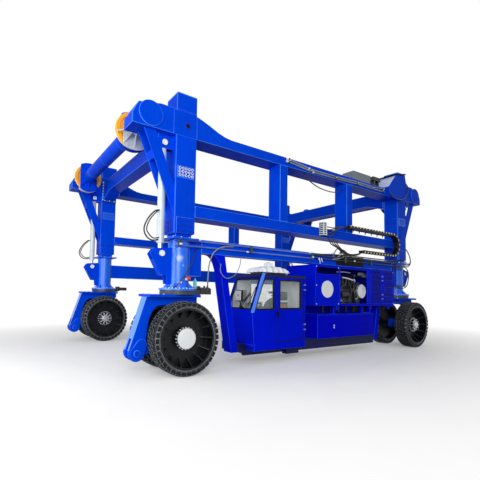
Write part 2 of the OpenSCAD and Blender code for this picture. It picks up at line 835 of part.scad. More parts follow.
module overhangs() {
    end_x = outer_x + overhang_l;
    nose = 200;
    color(blue) sides() ends() slab_y(col_y - half_sleeve, col_y + half_sleeve) polygon([
        [outer_x, chord_z], [end_x, chord_z], [end_x, chord_z + nose], [end_x - 117, chord_z + 420],
        [end_x - 578, head_top_z], [outer_x, head_top_z]]);
}

module bottom_chords() {
    color(blue) sides() block([-inner_x, col_y - half_sleeve, bottom_chord_z],
        [inner_x, col_y + half_sleeve, bottom_chord_z + bottom_chord_h]);
}

module posts() {
    post_z = bottom_chord_z + bottom_chord_h;
    color(blue) sides() ends() block([post_x - post_w / 2, col_y + half_sleeve - post_d, post_z],
        [post_x + post_w / 2, col_y + half_sleeve, chord_z]);
}

module crossbeams() {
    y1 = col_y - half_sleeve;
    y2 = y1 - cross_flange_t;
    under_z = chord_z - cross_under;
    color(blue) ends() {
        slab_x(col_x - cross_w / 2, col_x + cross_w / 2) polygon([
            [-y2, chord_z - cross_drop], [-y1 + cross_knee, under_z], [y1 - cross_knee, under_z],
            [y2, chord_z - cross_drop], [y2, chord_z + cross_h], [-y2, chord_z + cross_h]]);
        for (s = [-1, 1]) block(
            [col_x - half_sleeve, s * (y1 + y2) / 2 - cross_flange_t / 2, chord_z - cross_drop - 30],
            [col_x + half_sleeve, s * (y1 + y2) / 2 + cross_flange_t / 2, chord_z + cross_h + 30]);
    }
}

strut_foot_z = sleeve_z + 405;
strut_knee_z = strut_foot_z + 550;
strut_reach = 657;
strut_head = 247;

// Outer edge of the struts at a height, in corner axes
function strut_x(z) = half_sleeve + strut_reach * (z - strut_foot_z) / (chord_z - strut_foot_z);

module strut_outline() {
    polygon([[half_sleeve, strut_foot_z], [strut_x(chord_z), chord_z],
        [strut_x(chord_z) - strut_head, chord_z], [half_sleeve, strut_knee_z]]);
}

// Two plates a corner, tied by a short web outside the lift cylinder
module struts() {
    web_z = chord_z - 520;
    web_h = 140;
    web_t = 30;
    color(blue) corners() {
        for (s = [-1, 1]) translate([0, s * (strut_gap + strut_t) / 2, 0])
            slab_y(-strut_t / 2, strut_t / 2) strut_outline();
        translate([-10, 0, 0]) slab_y(-strut_gap / 2, strut_gap / 2) polygon([
            [strut_x(web_z) - web_t, web_z], [strut_x(web_z), web_z],
            [strut_x(web_z + web_h), web_z + web_h], [strut_x(web_z + web_h) - web_t, web_z + web_h]]);
    }
}

module cylinder_barrels() {
    barrel_z0 = low_pin_z + barrel_rise;
    barrel_z1 = top_pin_z - 110;
    bore_d = barrel_d - 2 * barrel_wall;
    gland_h = 60;
    eye_d = 150;
    color("gainsboro") corners() translate([cyl_out, 0, 0]) {
        rotate_extrude() polygon([
            [rod_d / 2 + run_gap, barrel_z0], [barrel_d / 2, barrel_z0], [barrel_d / 2, barrel_z1],
            [0, barrel_z1], [0, barrel_z1 - 30], [bore_d / 2, barrel_z1 - 30],
            [bore_d / 2, barrel_z0 + gland_h], [rod_d / 2 + run_gap, barrel_z0 + gland_h]]);
        translate([0, 0, top_pin_z]) pin_y(eye_d, -eye_w / 2, eye_w / 2);
        translate([0, 0, barrel_z1 - 10]) cylinder(d = 110, h = top_pin_z - barrel_z1);
        translate([0, 0, top_pin_z]) pin_y(cyl_pin_d, -eye_w / 2 - 5 - ear_t - 20, eye_w / 2 + 5 + ear_t + 20);
    }
}

module cylinder_lugs() {
    color(blue) corners() for (s = [-1, 1]) translate([0, s * (eye_w / 2 + 5 + ear_t / 2), 0]) difference() {
        slab_y(-ear_t / 2, ear_t / 2) polygon([[half_sleeve, chord_z], [half_sleeve, top_pin_z - 110],
            [cyl_out + 60, top_pin_z - 110], [cyl_out + 140, top_pin_z - 20], [cyl_out + 140, chord_z]]);
        translate([cyl_out, 0, top_pin_z]) pin_y(cyl_pin_d, -ear_t, ear_t);
    }
}

module end_covers() {
    color(blue) sides() ends() translate([sheave_x, 0, sheave_z])
        pin_y(cover_d, col_y + half_sleeve, col_y + half_sleeve + cover_t);
}

// Energy chain: an upper run, a half turn and a lower run, links side by side with pins between
chain_y = col_y + half_sleeve + chain_out;

module energy_chain() {
    low_z = chain_low_z;
    up_z = chain_low_z + 2 * chain_r;
    color(black) slab_y(-chain_y - chain_w / 2, -chain_y + chain_w / 2) difference() {
        union() {
            translate([chain_low_x, low_z - link_h / 2]) square([chain_x - chain_low_x, link_h]);
            translate([chain_up_x, up_z - link_h / 2]) square([chain_x - chain_up_x, link_h]);
            translate([chain_x, low_z + chain_r]) circle(r = chain_r + link_h / 2);
        }
        translate([chain_x, low_z + chain_r]) circle(r = chain_r - link_h / 2);
        translate([chain_x - chain_r * 2, low_z + link_h / 2]) square([chain_r * 2, 2 * chain_r - link_h]);
    }
}

module chain_trough() {
    up_z = chain_low_z + 2 * chain_r;
    y_in = -(col_y + half_sleeve);
    shelf_z = up_z - link_h / 2;
    shelf_t = 12;
    shelf_x1 = chain_x - chain_r * 0.8;
    color(black) {
        block([comb_x - comb_w / 2, y_in - chain_w, bottom_chord_z + 25],
            [comb_x + comb_w / 2, y_in, up_z + 5]);
        block([chain_up_x - 60, y_in - chain_w - 20, shelf_z - shelf_t], [shelf_x1, y_in, shelf_z]);
    }
}

module cabinet() {
    cabinet_w = 360;
    color("gray") block([cabinet_x - cabinet_l / 2, -col_y - cabinet_w / 2, thin_top],
        [cabinet_x + cabinet_l / 2, -col_y + cabinet_w / 2, thin_top + cabinet_h]);
}

// Place on the near right guard, as shares of its reach and of its height
function guard_at(share) = [share[0] * guard_in, chord_z + share[1] * guard_up];

// Guard box on the outer face of the near right head, and its sloped back above the haunch
module head_guard() {
    low = guard_at([-1, 0.266]);
    bend = guard_at([-0.561, 0.864]);
    tip = guard_at([-0.03, 1]);
    back_slope = (bend[1] - low[1]) / (bend[0] - low[0]);
    top_slope = (tip[1] - bend[1]) / (tip[0] - bend[0]);
    foot = [haunch_line[4][0], low[1] + back_slope * (haunch_line[4][0] - low[0])];
    color(blue) corner(1, -1) {
        slab_y(half_sleeve, half_sleeve + guard_t) polygon([
            guard_at([-0.848, -0.069]), guard_at([-0.199, -0.08]), guard_at([0.117, 0.362]),
            tip, bend, low]);
        slab_y(-half_sleeve, half_sleeve + 10) polygon(concat(
            [foot, bend, [-half_sleeve, bend[1] + top_slope * (-half_sleeve - bend[0])]],
            [for (p = haunch_line) [p[0], p[1] + 1]]));
    }
}

/* Hoist sheaves */

cheek_y = sheave_y - sheave_w / 2 - sheave_gap - cheek_t;
cheek_y2 = sheave_y + sheave_w / 2 + sheave_gap;

// Outline of the plates beside a sheave, +X away from the sleeve
module cheek_outline() {
    intersection() {
        circle(r = cheek_r);
        translate([-cheek_in, -cheek_r]) square([cheek_in + cheek_out, 2 * cheek_r]);
    }
}

// Radial gussets from a tube to a plate at y = 0, tapering away over a length l
module gusset_ring(tube_r, l) {
    gusset_t = 16;
    for (i = [0 : cheek_gussets - 1]) rotate([0, (i + 0.5) * 360 / cheek_gussets, 0])
        translate([0, 0, -gusset_t / 2]) linear_extrude(gusset_t)
            polygon([[tube_r - 12, 0], [cheek_out - 5, 0], [tube_r - 12, -l]]);
}

// Fixed tubes across each end, with the inner plates and the sheave shafts
module cross_tubes() {
    color(blue) ends() translate([sheave_x, 0, sheave_z]) {
        pin_y(tube_d, -cheek_y, cheek_y);
        sides() {
            slab_y(cheek_y, cheek_y + cheek_t) cheek_outline();
            translate([0, cheek_y, 0]) gusset_ring(tube_d / 2, 190);
            pin_y(shaft_d, cheek_y, cheek_y2 + cheek_t + 30);
        }
    }
}

// Outer plates, each on a short tube to the overhang
module hoist_hangers() {
    stub_d = 260;
    wall_y = col_y - half_sleeve;
    color("darkgray") ends() translate([sheave_x, 0, sheave_z]) sides() difference() {
        union() {
            slab_y(cheek_y2, cheek_y2 + cheek_t) cheek_outline();
            pin_y(stub_d, cheek_y2 + cheek_t, wall_y);
            translate([0, cheek_y2 + cheek_t, 0]) mirror([0, 1, 0])
                gusset_ring(stub_d / 2, wall_y - cheek_y2 - cheek_t - 20);
        }
        pin_y(shaft_d, cheek_y, cheek_y2 + cheek_t + 30);
    }
}

// Grooved rope sheave on its own axis
module sheave() {
    r = sheave_d / 2;
    w = sheave_w / 2;
    rim = 75;
    web = 14;
    bore_r = shaft_d / 2 + run_gap;
    color("gold") rotate([90, 0, 0]) rotate_extrude($fn = 72) polygon([
        [bore_r, -w], [bore_r + 55, -w], [bore_r + 55, -web], [r - rim, -web], [r - rim, -w],
        [r, -w], [r, -w + 8], [r - 42, -8], [r - 42, 8], [r, w - 8], [r, w],
        [r - rim, w], [r - rim, web], [bore_r + 55, web], [bore_r + 55, w], [bore_r, w]]);
}

module sheave_at(sx, sy) {
    translate([sx * sheave_x, sy * sheave_y, sheave_z]) sheave();
}

module near_left_sheave() { sheave_at(-1, -1); }
module near_right_sheave() { sheave_at(1, -1); }
module far_left_sheave() { sheave_at(-1, 1); }
module far_right_sheave() { sheave_at(1, 1); }

/* Bogies and wheels, in corner axes */

foot_x = head_out + leg_run - pivot_inset;

module bogie() {
    web_in = 250;
    slope = leg_run / (head_z - pivot_z);
    heel = [foot_x + foot_r * cos(atan(slope)), pivot_z + foot_r * sin(atan(slope))];
    color(blue) {
        translate([-head_in, -head_w / 2, head_z]) cube([head_in + head_out, head_w, head_t]);
        difference() {
            union() {
                slab_y(-leg_w / 2, leg_w / 2) polygon(concat(
                    [[-head_in, head_z], [head_out, head_z], heel, [foot_x, pivot_z]],
                    [[foot_x - foot_r, pivot_z + 40]],
                    [for (i = [0 : 5]) [foot_x - foot_r - 40 - web_in * (1 - cos(i * 18)),
                        pivot_z + 300 + (head_z - pivot_z - 460) * sin(i * 18)]],
                    [[-head_in, head_z - 130]]));
                translate([foot_x, 0, pivot_z]) pin_y(2 * foot_r, -leg_w / 2 - lug_t, leg_w / 2 + lug_t);
            }
            block([-head_in - 10, -arm_t / 2, 0], [foot_x + foot_r + 60, arm_t / 2, pivot_z + 260]);
            translate([foot_x, 0, pivot_z]) pin_y(pivot_pin_d, -leg_w, leg_w);
        }
        translate([foot_x, 0, pivot_z]) pin_y(pivot_pin_d, -leg_w / 2 - lug_t - 25, leg_w / 2 + lug_t + 25);
        difference() {
            union() {
                slab_y(-arm_t / 2, arm_t / 2) polygon([
                    [foot_x, pivot_z - 110], [foot_x, pivot_z + 110],
                    [axle_offset, axle_z + 120], [axle_offset, axle_z - 120]]);
                translate([foot_x, 0, pivot_z]) pin_y(220, -arm_t / 2, arm_t / 2);
                translate([axle_offset, 0, axle_z]) pin_y(arm_hub_d, -tyre_gap / 2 + 60, tyre_gap / 2 - 60);
            }
            translate([axle_offset, 0, axle_z]) pin_y(axle_d + 2 * run_gap, -tyre_gap, tyre_gap);
        }
    }
}

module near_left_bogie() { corner(-1, -1) bogie(); }
module near_right_bogie() { corner(1, -1) bogie(); }
module far_left_bogie() { corner(-1, 1) bogie(); }
module far_right_bogie() { corner(1, 1) bogie(); }

// One tyre with its outer face at y = 0 and its body towards -Y
module tyre() {
    r = tyre_d / 2;
    b = bead_d / 2;
    wall = b + (r - 70 - b) * 0.8;
    rotate([90, 0, 0]) rotate_extrude($fn = 96) polygon([
        [b, 12], [wall, 0], [r - 70, 4], [r - 12, 30], [r, 60], [r, tyre_w - 60],
        [r - 12, tyre_w - 30], [r - 70, tyre_w - 4], [wall, tyre_w], [b, tyre_w - 12]]);
}

// One rim with its open dish towards +Y, outer face at y = 0
module rim() {
    b = bead_d / 2;
    lip = b + rim_lip;
    boss = hub_d / 2 + 34;
    root = dish_depth + dish_t / 2;
    rotate([90, 0, 0]) rotate_extrude($fn = 96) polygon([
        [lip, -6], [lip, 0], [b, 12], [b, tyre_w - 12], [lip, tyre_w], [lip, tyre_w + 6],
        [b - rim_wall, tyre_w + 6], [b - rim_wall, dish_depth + dish_t],
        [axle_d / 2, dish_depth + dish_t], [axle_d / 2, dish_depth],
        [b - rim_wall, dish_depth], [b - rim_wall, -6]]);
    pin_y(hub_d, -root, -hub_depth - 12);
    pin_y(hub_cover_d - 30, -hub_depth - 12, -hub_depth);
    for (i = [0 : hub_studs - 1]) rotate([0, i * 360 / hub_studs, 0]) translate([boss, 0, 0])
        pin_y(stud_d, -root, -dish_depth + 70);
    for (i = [0 : rim_ribs - 1]) rotate([0, i * 360 / rim_ribs, 0]) translate([0, 0, -rib_t / 2])
        linear_extrude(rib_t) polygon([[b - rim_wall - 170, -root], [b - rim_wall + 5, -root],
            [b - rim_wall + 5, -40], [b - rim_wall - 15, -40]]);
}

module wheel_places() {
    for (s = [1, -1]) mirror([0, s < 0 ? 1 : 0, 0])
        translate([axle_offset, tyre_gap / 2 + tyre_w, axle_z]) children();
}

module tyre_pair() {
    color(black) wheel_places() tyre();
}

module rim_pair() {
    shaft_half = tyre_gap / 2 + tyre_w - dish_depth;
    color("dimgray") {
        wheel_places() rim();
        translate([axle_offset, 0, axle_z]) pin_y(axle_d, -shaft_half, shaft_half);
    }
}

module near_left_tyres() { corner(-1, -1) tyre_pair(); }
module near_right_tyres() { corner(1, -1) tyre_pair(); }
module far_left_tyres() { corner(-1, 1) tyre_pair(); }
module far_right_tyres() { corner(1, 1) tyre_pair(); }
module near_left_rims() { corner(-1, -1) rim_pair(); }
module near_right_rims() { corner(1, -1) rim_pair(); }
module far_left_rims() { corner(-1, 1) rim_pair(); }
module far_right_rims() { corner(1, 1) rim_pair(); }

round_columns();
column_head_plates();
slew_drives();
cylinder_brackets();
masts();
near_sill();
far_sill();
stub_boxes();
drop_legs();
platform();
cylinder_rods();
cab_shell();
cab_glass();
cab_seat();
cab_console();
cab_door();
door_glass();
cab_hinges();
engine_bay();
engine_block();
engine_door();
bay_hinge_pins();
tank();
sleeve_front_plates();
sleeve_side_plates();
sleeve_caps();
wear_pads();
top_chords();
chord_haunches();
overhangs();
bottom_chords();
posts();
crossbeams();
struts();
cylinder_barrels();
cylinder_lugs();
end_covers();
energy_chain();
chain_trough();
cabinet();
head_guard();
cross_tubes();
hoist_hangers();
near_left_sheave();
near_right_sheave();
far_left_sheave();
far_right_sheave();
near_left_bogie();
near_right_bogie();
far_left_bogie();
far_right_bogie();
near_left_tyres();
near_right_tyres();
far_left_tyres();
far_right_tyres();
near_left_rims();
near_right_rims();
far_left_rims();
far_right_rims();
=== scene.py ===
import json
import math
import bmesh
import bpy
from mathutils import Euler, Matrix, Vector


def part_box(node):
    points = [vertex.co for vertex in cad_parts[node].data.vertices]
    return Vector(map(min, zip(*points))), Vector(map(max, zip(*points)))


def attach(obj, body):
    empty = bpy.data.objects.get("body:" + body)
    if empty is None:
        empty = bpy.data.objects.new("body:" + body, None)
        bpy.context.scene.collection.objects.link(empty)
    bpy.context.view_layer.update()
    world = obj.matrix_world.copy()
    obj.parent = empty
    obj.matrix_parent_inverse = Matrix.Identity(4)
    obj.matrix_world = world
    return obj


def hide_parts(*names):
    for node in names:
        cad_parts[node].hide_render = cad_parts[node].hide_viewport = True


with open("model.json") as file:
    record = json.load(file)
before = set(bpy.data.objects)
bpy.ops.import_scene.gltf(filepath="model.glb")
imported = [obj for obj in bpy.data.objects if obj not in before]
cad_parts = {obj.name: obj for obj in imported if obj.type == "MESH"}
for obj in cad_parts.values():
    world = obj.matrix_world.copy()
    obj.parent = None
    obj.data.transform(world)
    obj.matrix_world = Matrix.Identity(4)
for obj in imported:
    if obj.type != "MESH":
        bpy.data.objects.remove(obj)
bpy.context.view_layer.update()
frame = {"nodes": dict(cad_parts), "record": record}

scene = bpy.context.scene
scene.view_settings.view_transform = "Standard"
bodyOfNode = {node: body for body, nodes in frame["record"]["behaviour"]["bodies"].items() for node in nodes}
print("frame loaded")

# ---- camera, floor and light

camera = {"place": (-7.263, -8.6356, 1.5465), "yaw": 1.0098, "pitch": 0.0538, "roll": -0.0211,
          "focal": 347.32, "centre": (201.39, 273.44), "side": 480}


def makeCamera(c):
    ahead = Vector((math.cos(c["yaw"]) * math.cos(c["pitch"]), math.sin(c["yaw"]) * math.cos(c["pitch"]),
                    math.sin(c["pitch"])))
    level = Vector((math.sin(c["yaw"]), -math.cos(c["yaw"]), 0))
    plumb = ahead.cross(level)
    right = math.cos(c["roll"]) * level + math.sin(c["roll"]) * plumb
    down = math.cos(c["roll"]) * plumb - math.sin(c["roll"]) * level
    data = bpy.data.cameras.new("camera")
    data.sensor_width = 36
    data.lens = 36 * c["focal"] / c["side"]
    data.shift_x = (c["side"] / 2 - c["centre"][0]) / c["side"]
    data.shift_y = (c["centre"][1] - c["side"] / 2) / c["side"]
    data.clip_end = 200
    cam = bpy.data.objects.new("camera", data)
    scene.collection.objects.link(cam)
    cam.matrix_world = Matrix.Translation(c["place"]) @ Matrix((right, -down, -ahead)).transposed().to_4x4()
    scene.camera = cam


light = {"fill": 0.37, "back": 1.0, "doorWatts": 380, "doorSize": (6.5, 4.5), "doorAt": (-10.6, -2.3, 2.6),
         "doorAim": (-3.9, -2.4, 2.0), "softWatts": 1200, "softSize": (7.0, 7.0), "softAt": (-10.2, -13.2, 5.2),
         "softAim": (-3.0, -2.5, 2.0)}


def seenDirectly(tree):
    # 1 where a surface is seen straight, in a reflection or through a pane
    rays = tree.nodes.new("ShaderNodeLightPath")
    total = None
    for ray in ("Is Camera Ray", "Is Glossy Ray", "Is Transmission Ray"):
        if total is None:
            total = rays.outputs[ray]
            continue
        both = tree.nodes.new("ShaderNodeMath")
        both.operation = "MAXIMUM"
        tree.links.new(total, both.inputs[0])
        tree.links.new(rays.outputs[ray], both.inputs[1])
        total = both.outputs[0]
    return total


def makeLight(s):
    world = bpy.data.worlds.new("studio")
    world.use_nodes = True
    scene.world = world
    tree = world.node_tree
    back = tree.nodes["Background"]
    back.inputs["Color"].default_value = (1, 1, 1, 1)
    level = tree.nodes.new("ShaderNodeMapRange")
    tree.links.new(seenDirectly(tree), level.inputs["Value"])
    level.inputs["To Min"].default_value = s["fill"]
    level.inputs["To Max"].default_value = s["back"]
    tree.links.new(level.outputs[0], back.inputs["Strength"])
    for name in ("door", "soft"):
        lamp = bpy.data.lights.new(name + "Lamp", "AREA")
        lamp.shape = "RECTANGLE"
        lamp.size, lamp.size_y = s[name + "Size"]
        lamp.energy = s[name + "Watts"]
        holder = bpy.data.objects.new(name + "Lamp", lamp)
        holder.location = s[name + "At"]
        holder.rotation_euler = (Vector(s[name + "Aim"]) - Vector(s[name + "At"])).to_track_quat("-Z", "Y").to_euler()
        scene.collection.objects.link(holder)


makeCamera(camera)
makeLight(light)

# ---- shader maths


class Flow:
    # one socket of a shader tree, which takes plain arithmetic
    def __init__(self, tree, socket=None):
        self.tree = tree
        self.socket = socket

    def add(self, kind, settings=None, feeds=None, out=0):
        node = self.tree.nodes.new(kind)
        for key, value in (settings or {}).items():
            if key == "stops":
                for stop, (place, level) in zip(node.color_ramp.elements, value):
                    stop.position = place
                    stop.color = (level, level, level, 1)
            else:
                setattr(node, key, value)
        for key, value in (feeds or {}).items():
            if isinstance(value, Flow):
                self.tree.links.new(value.socket, node.inputs[key])
            else:
                node.inputs[key].default_value = value
        return Flow(self.tree, node.outputs[out])

    def maths(self, operation, first, second=0.0, clamp=False):
        return self.add("ShaderNodeMath", {"operation": operation, "use_clamp": clamp}, {0: first, 1: second})

    def __add__(self, other): return self.maths("ADD", self, other)
    def __radd__(self, other): return self.maths("ADD", other, self)
    def __sub__(self, other): return self.maths("SUBTRACT", self, other)
    def __rsub__(self, other): return self.maths("SUBTRACT", other, self)
    def __mul__(self, other): return self.maths("MULTIPLY", self, other)
    def __rmul__(self, other): return self.maths("MULTIPLY", other, self)
    def __truediv__(self, other): return self.maths("DIVIDE", self, other)
    def __pow__(self, other): return self.maths("POWER", self, other)

    def step(self, low, high):
        return self.add("ShaderNodeMapRange", {"clamp": True}, {"Value": self, "From Min": low, "From Max": high})

    def mix(self, first, second):
        return self.add("ShaderNodeMix", {"data_type": "RGBA"}, {0: self, 6: first, 7: second}, out=2)


def tone(red, green, blue):
    # a screen colour, 0 to 255, as the linear colour that nodes take
    return tuple((v / 255 / 12.92) if v < 11 else ((v / 255 + 0.055) / 1.055) ** 2.4 for v in (red, green, blue)) + (1,)


def finish(name, colour, deep=None, rough=0.4, roughVary=0.12, metal=0.0, coat=0.0, shine=0.5, grain=60.0,
           grainDepth=0.001, streaks=0.0, dust=0.0, dustColour=(150, 150, 150), chips=0.0,
           chipColour=(120, 125, 130), patch=()):
    # one surface finish: mottled colour, run marks, dust on what faces up, chips, grain and varied gloss
    material = bpy.data.materials.new(name)
    material.use_nodes = True
    tree = material.node_tree
    shader = tree.nodes["Principled BSDF"]
    flow = Flow(tree)
    place = flow.add("ShaderNodeTexCoord", out="Object")
    broad = flow.add("ShaderNodeTexNoise", None, {"Vector": place, "Scale": 1.3, "Detail": 4.0}, out="Fac")
    fine = flow.add("ShaderNodeTexNoise", None, {"Vector": place, "Scale": grain, "Detail": 5.0}, out="Fac")
    deep = deep or tuple(v * 0.72 for v in colour)
    shade = (broad * 0.75 + fine * 0.25).step(0.3, 0.72).mix(tone(*deep), tone(*colour))
    if streaks:
        runs = flow.add("ShaderNodeMapping", None, {"Vector": place, "Scale": (9.0, 9.0, 0.7)})
        run = flow.add("ShaderNodeTexNoise", None, {"Vector": runs, "Scale": 2.2, "Detail": 6.0}, out="Fac")
        shade = (run.step(0.52, 0.72) * streaks).mix(shade, tone(*(v * 0.55 for v in colour)))
    if chips:
        spots = flow.add("ShaderNodeTexNoise", None, {"Vector": place, "Scale": 34.0, "Detail": 7.0,
                                                     "Roughness": 0.7}, out="Fac")
        area = flow.add("ShaderNodeTexNoise", None, {"Vector": place, "Scale": 3.1, "Detail": 2.0}, out="Fac")
        chip = spots.step(0.66, 0.70) * area.step(0.5, 0.62) * chips
        shade = chip.mix(shade, tone(*chipColour))
    if dust:
        facing = flow.add("ShaderNodeSeparateXYZ", None,
                          {"Vector": flow.add("ShaderNodeNewGeometry", out="Normal")}, out="Z")
        film = facing.step(0.35, 1.0) * (broad * 0.6 + fine * 0.7).step(0.3, 0.8) * dust
        shade = film.mix(shade, tone(*dustColour))
    for centre, radius, patchColour in patch:
        offset = flow.add("ShaderNodeVectorMath", {"operation": "DISTANCE"}, {0: place, 1: centre}, out="Value")
        ragged = flow.add("ShaderNodeTexNoise", None, {"Vector": place, "Scale": 40.0, "Detail": 6.0}, out="Fac")
        spot = (1 - (offset / radius + (ragged - 0.5) * 3.2).step(0.35, 1.0)) * ragged.step(0.3, 0.6)
        shade = spot.mix(shade, tone(*patchColour))
    tree.links.new(shade.socket, shader.inputs["Base Color"])
    gloss = fine * roughVary + broad * roughVary + (rough - roughVary)
    tree.links.new(gloss.socket, shader.inputs["Roughness"])
    shader.inputs["Metallic"].default_value = metal
    shader.inputs["Coat Weight"].default_value = coat
    shader.inputs["Specular IOR Level"].default_value = shine
    bump = flow.add("ShaderNodeBump", None, {"Strength": 0.5, "Distance": grainDepth, "Height": fine}, out="Normal")
    tree.links.new(bump.socket, shader.inputs["Normal"])
    return material


def glass(name, colour):
    material = bpy.data.materials.new(name)
    material.use_nodes = True
    tree = material.node_tree
    shader = tree.nodes["Principled BSDF"]
    flow = Flow(tree)
    place = flow.add("ShaderNodeTexCoord", out="Object")
    smear = flow.add("ShaderNodeTexNoise", None, {"Vector": place, "Scale": 5.0, "Detail": 6.0}, out="Fac")
    shade = smear.step(0.35, 0.75).mix(tone(*colour), tone(*(v * 0.86 for v in colour)))
    tree.links.new(shade.socket, shader.inputs["Base Color"])
    tree.links.new((smear.step(0.4, 0.8) * 0.12 + 0.14).socket, shader.inputs["Alpha"])
    tree.links.new((smear * 0.08 + 0.03).socket, shader.inputs["Roughness"])
    return material


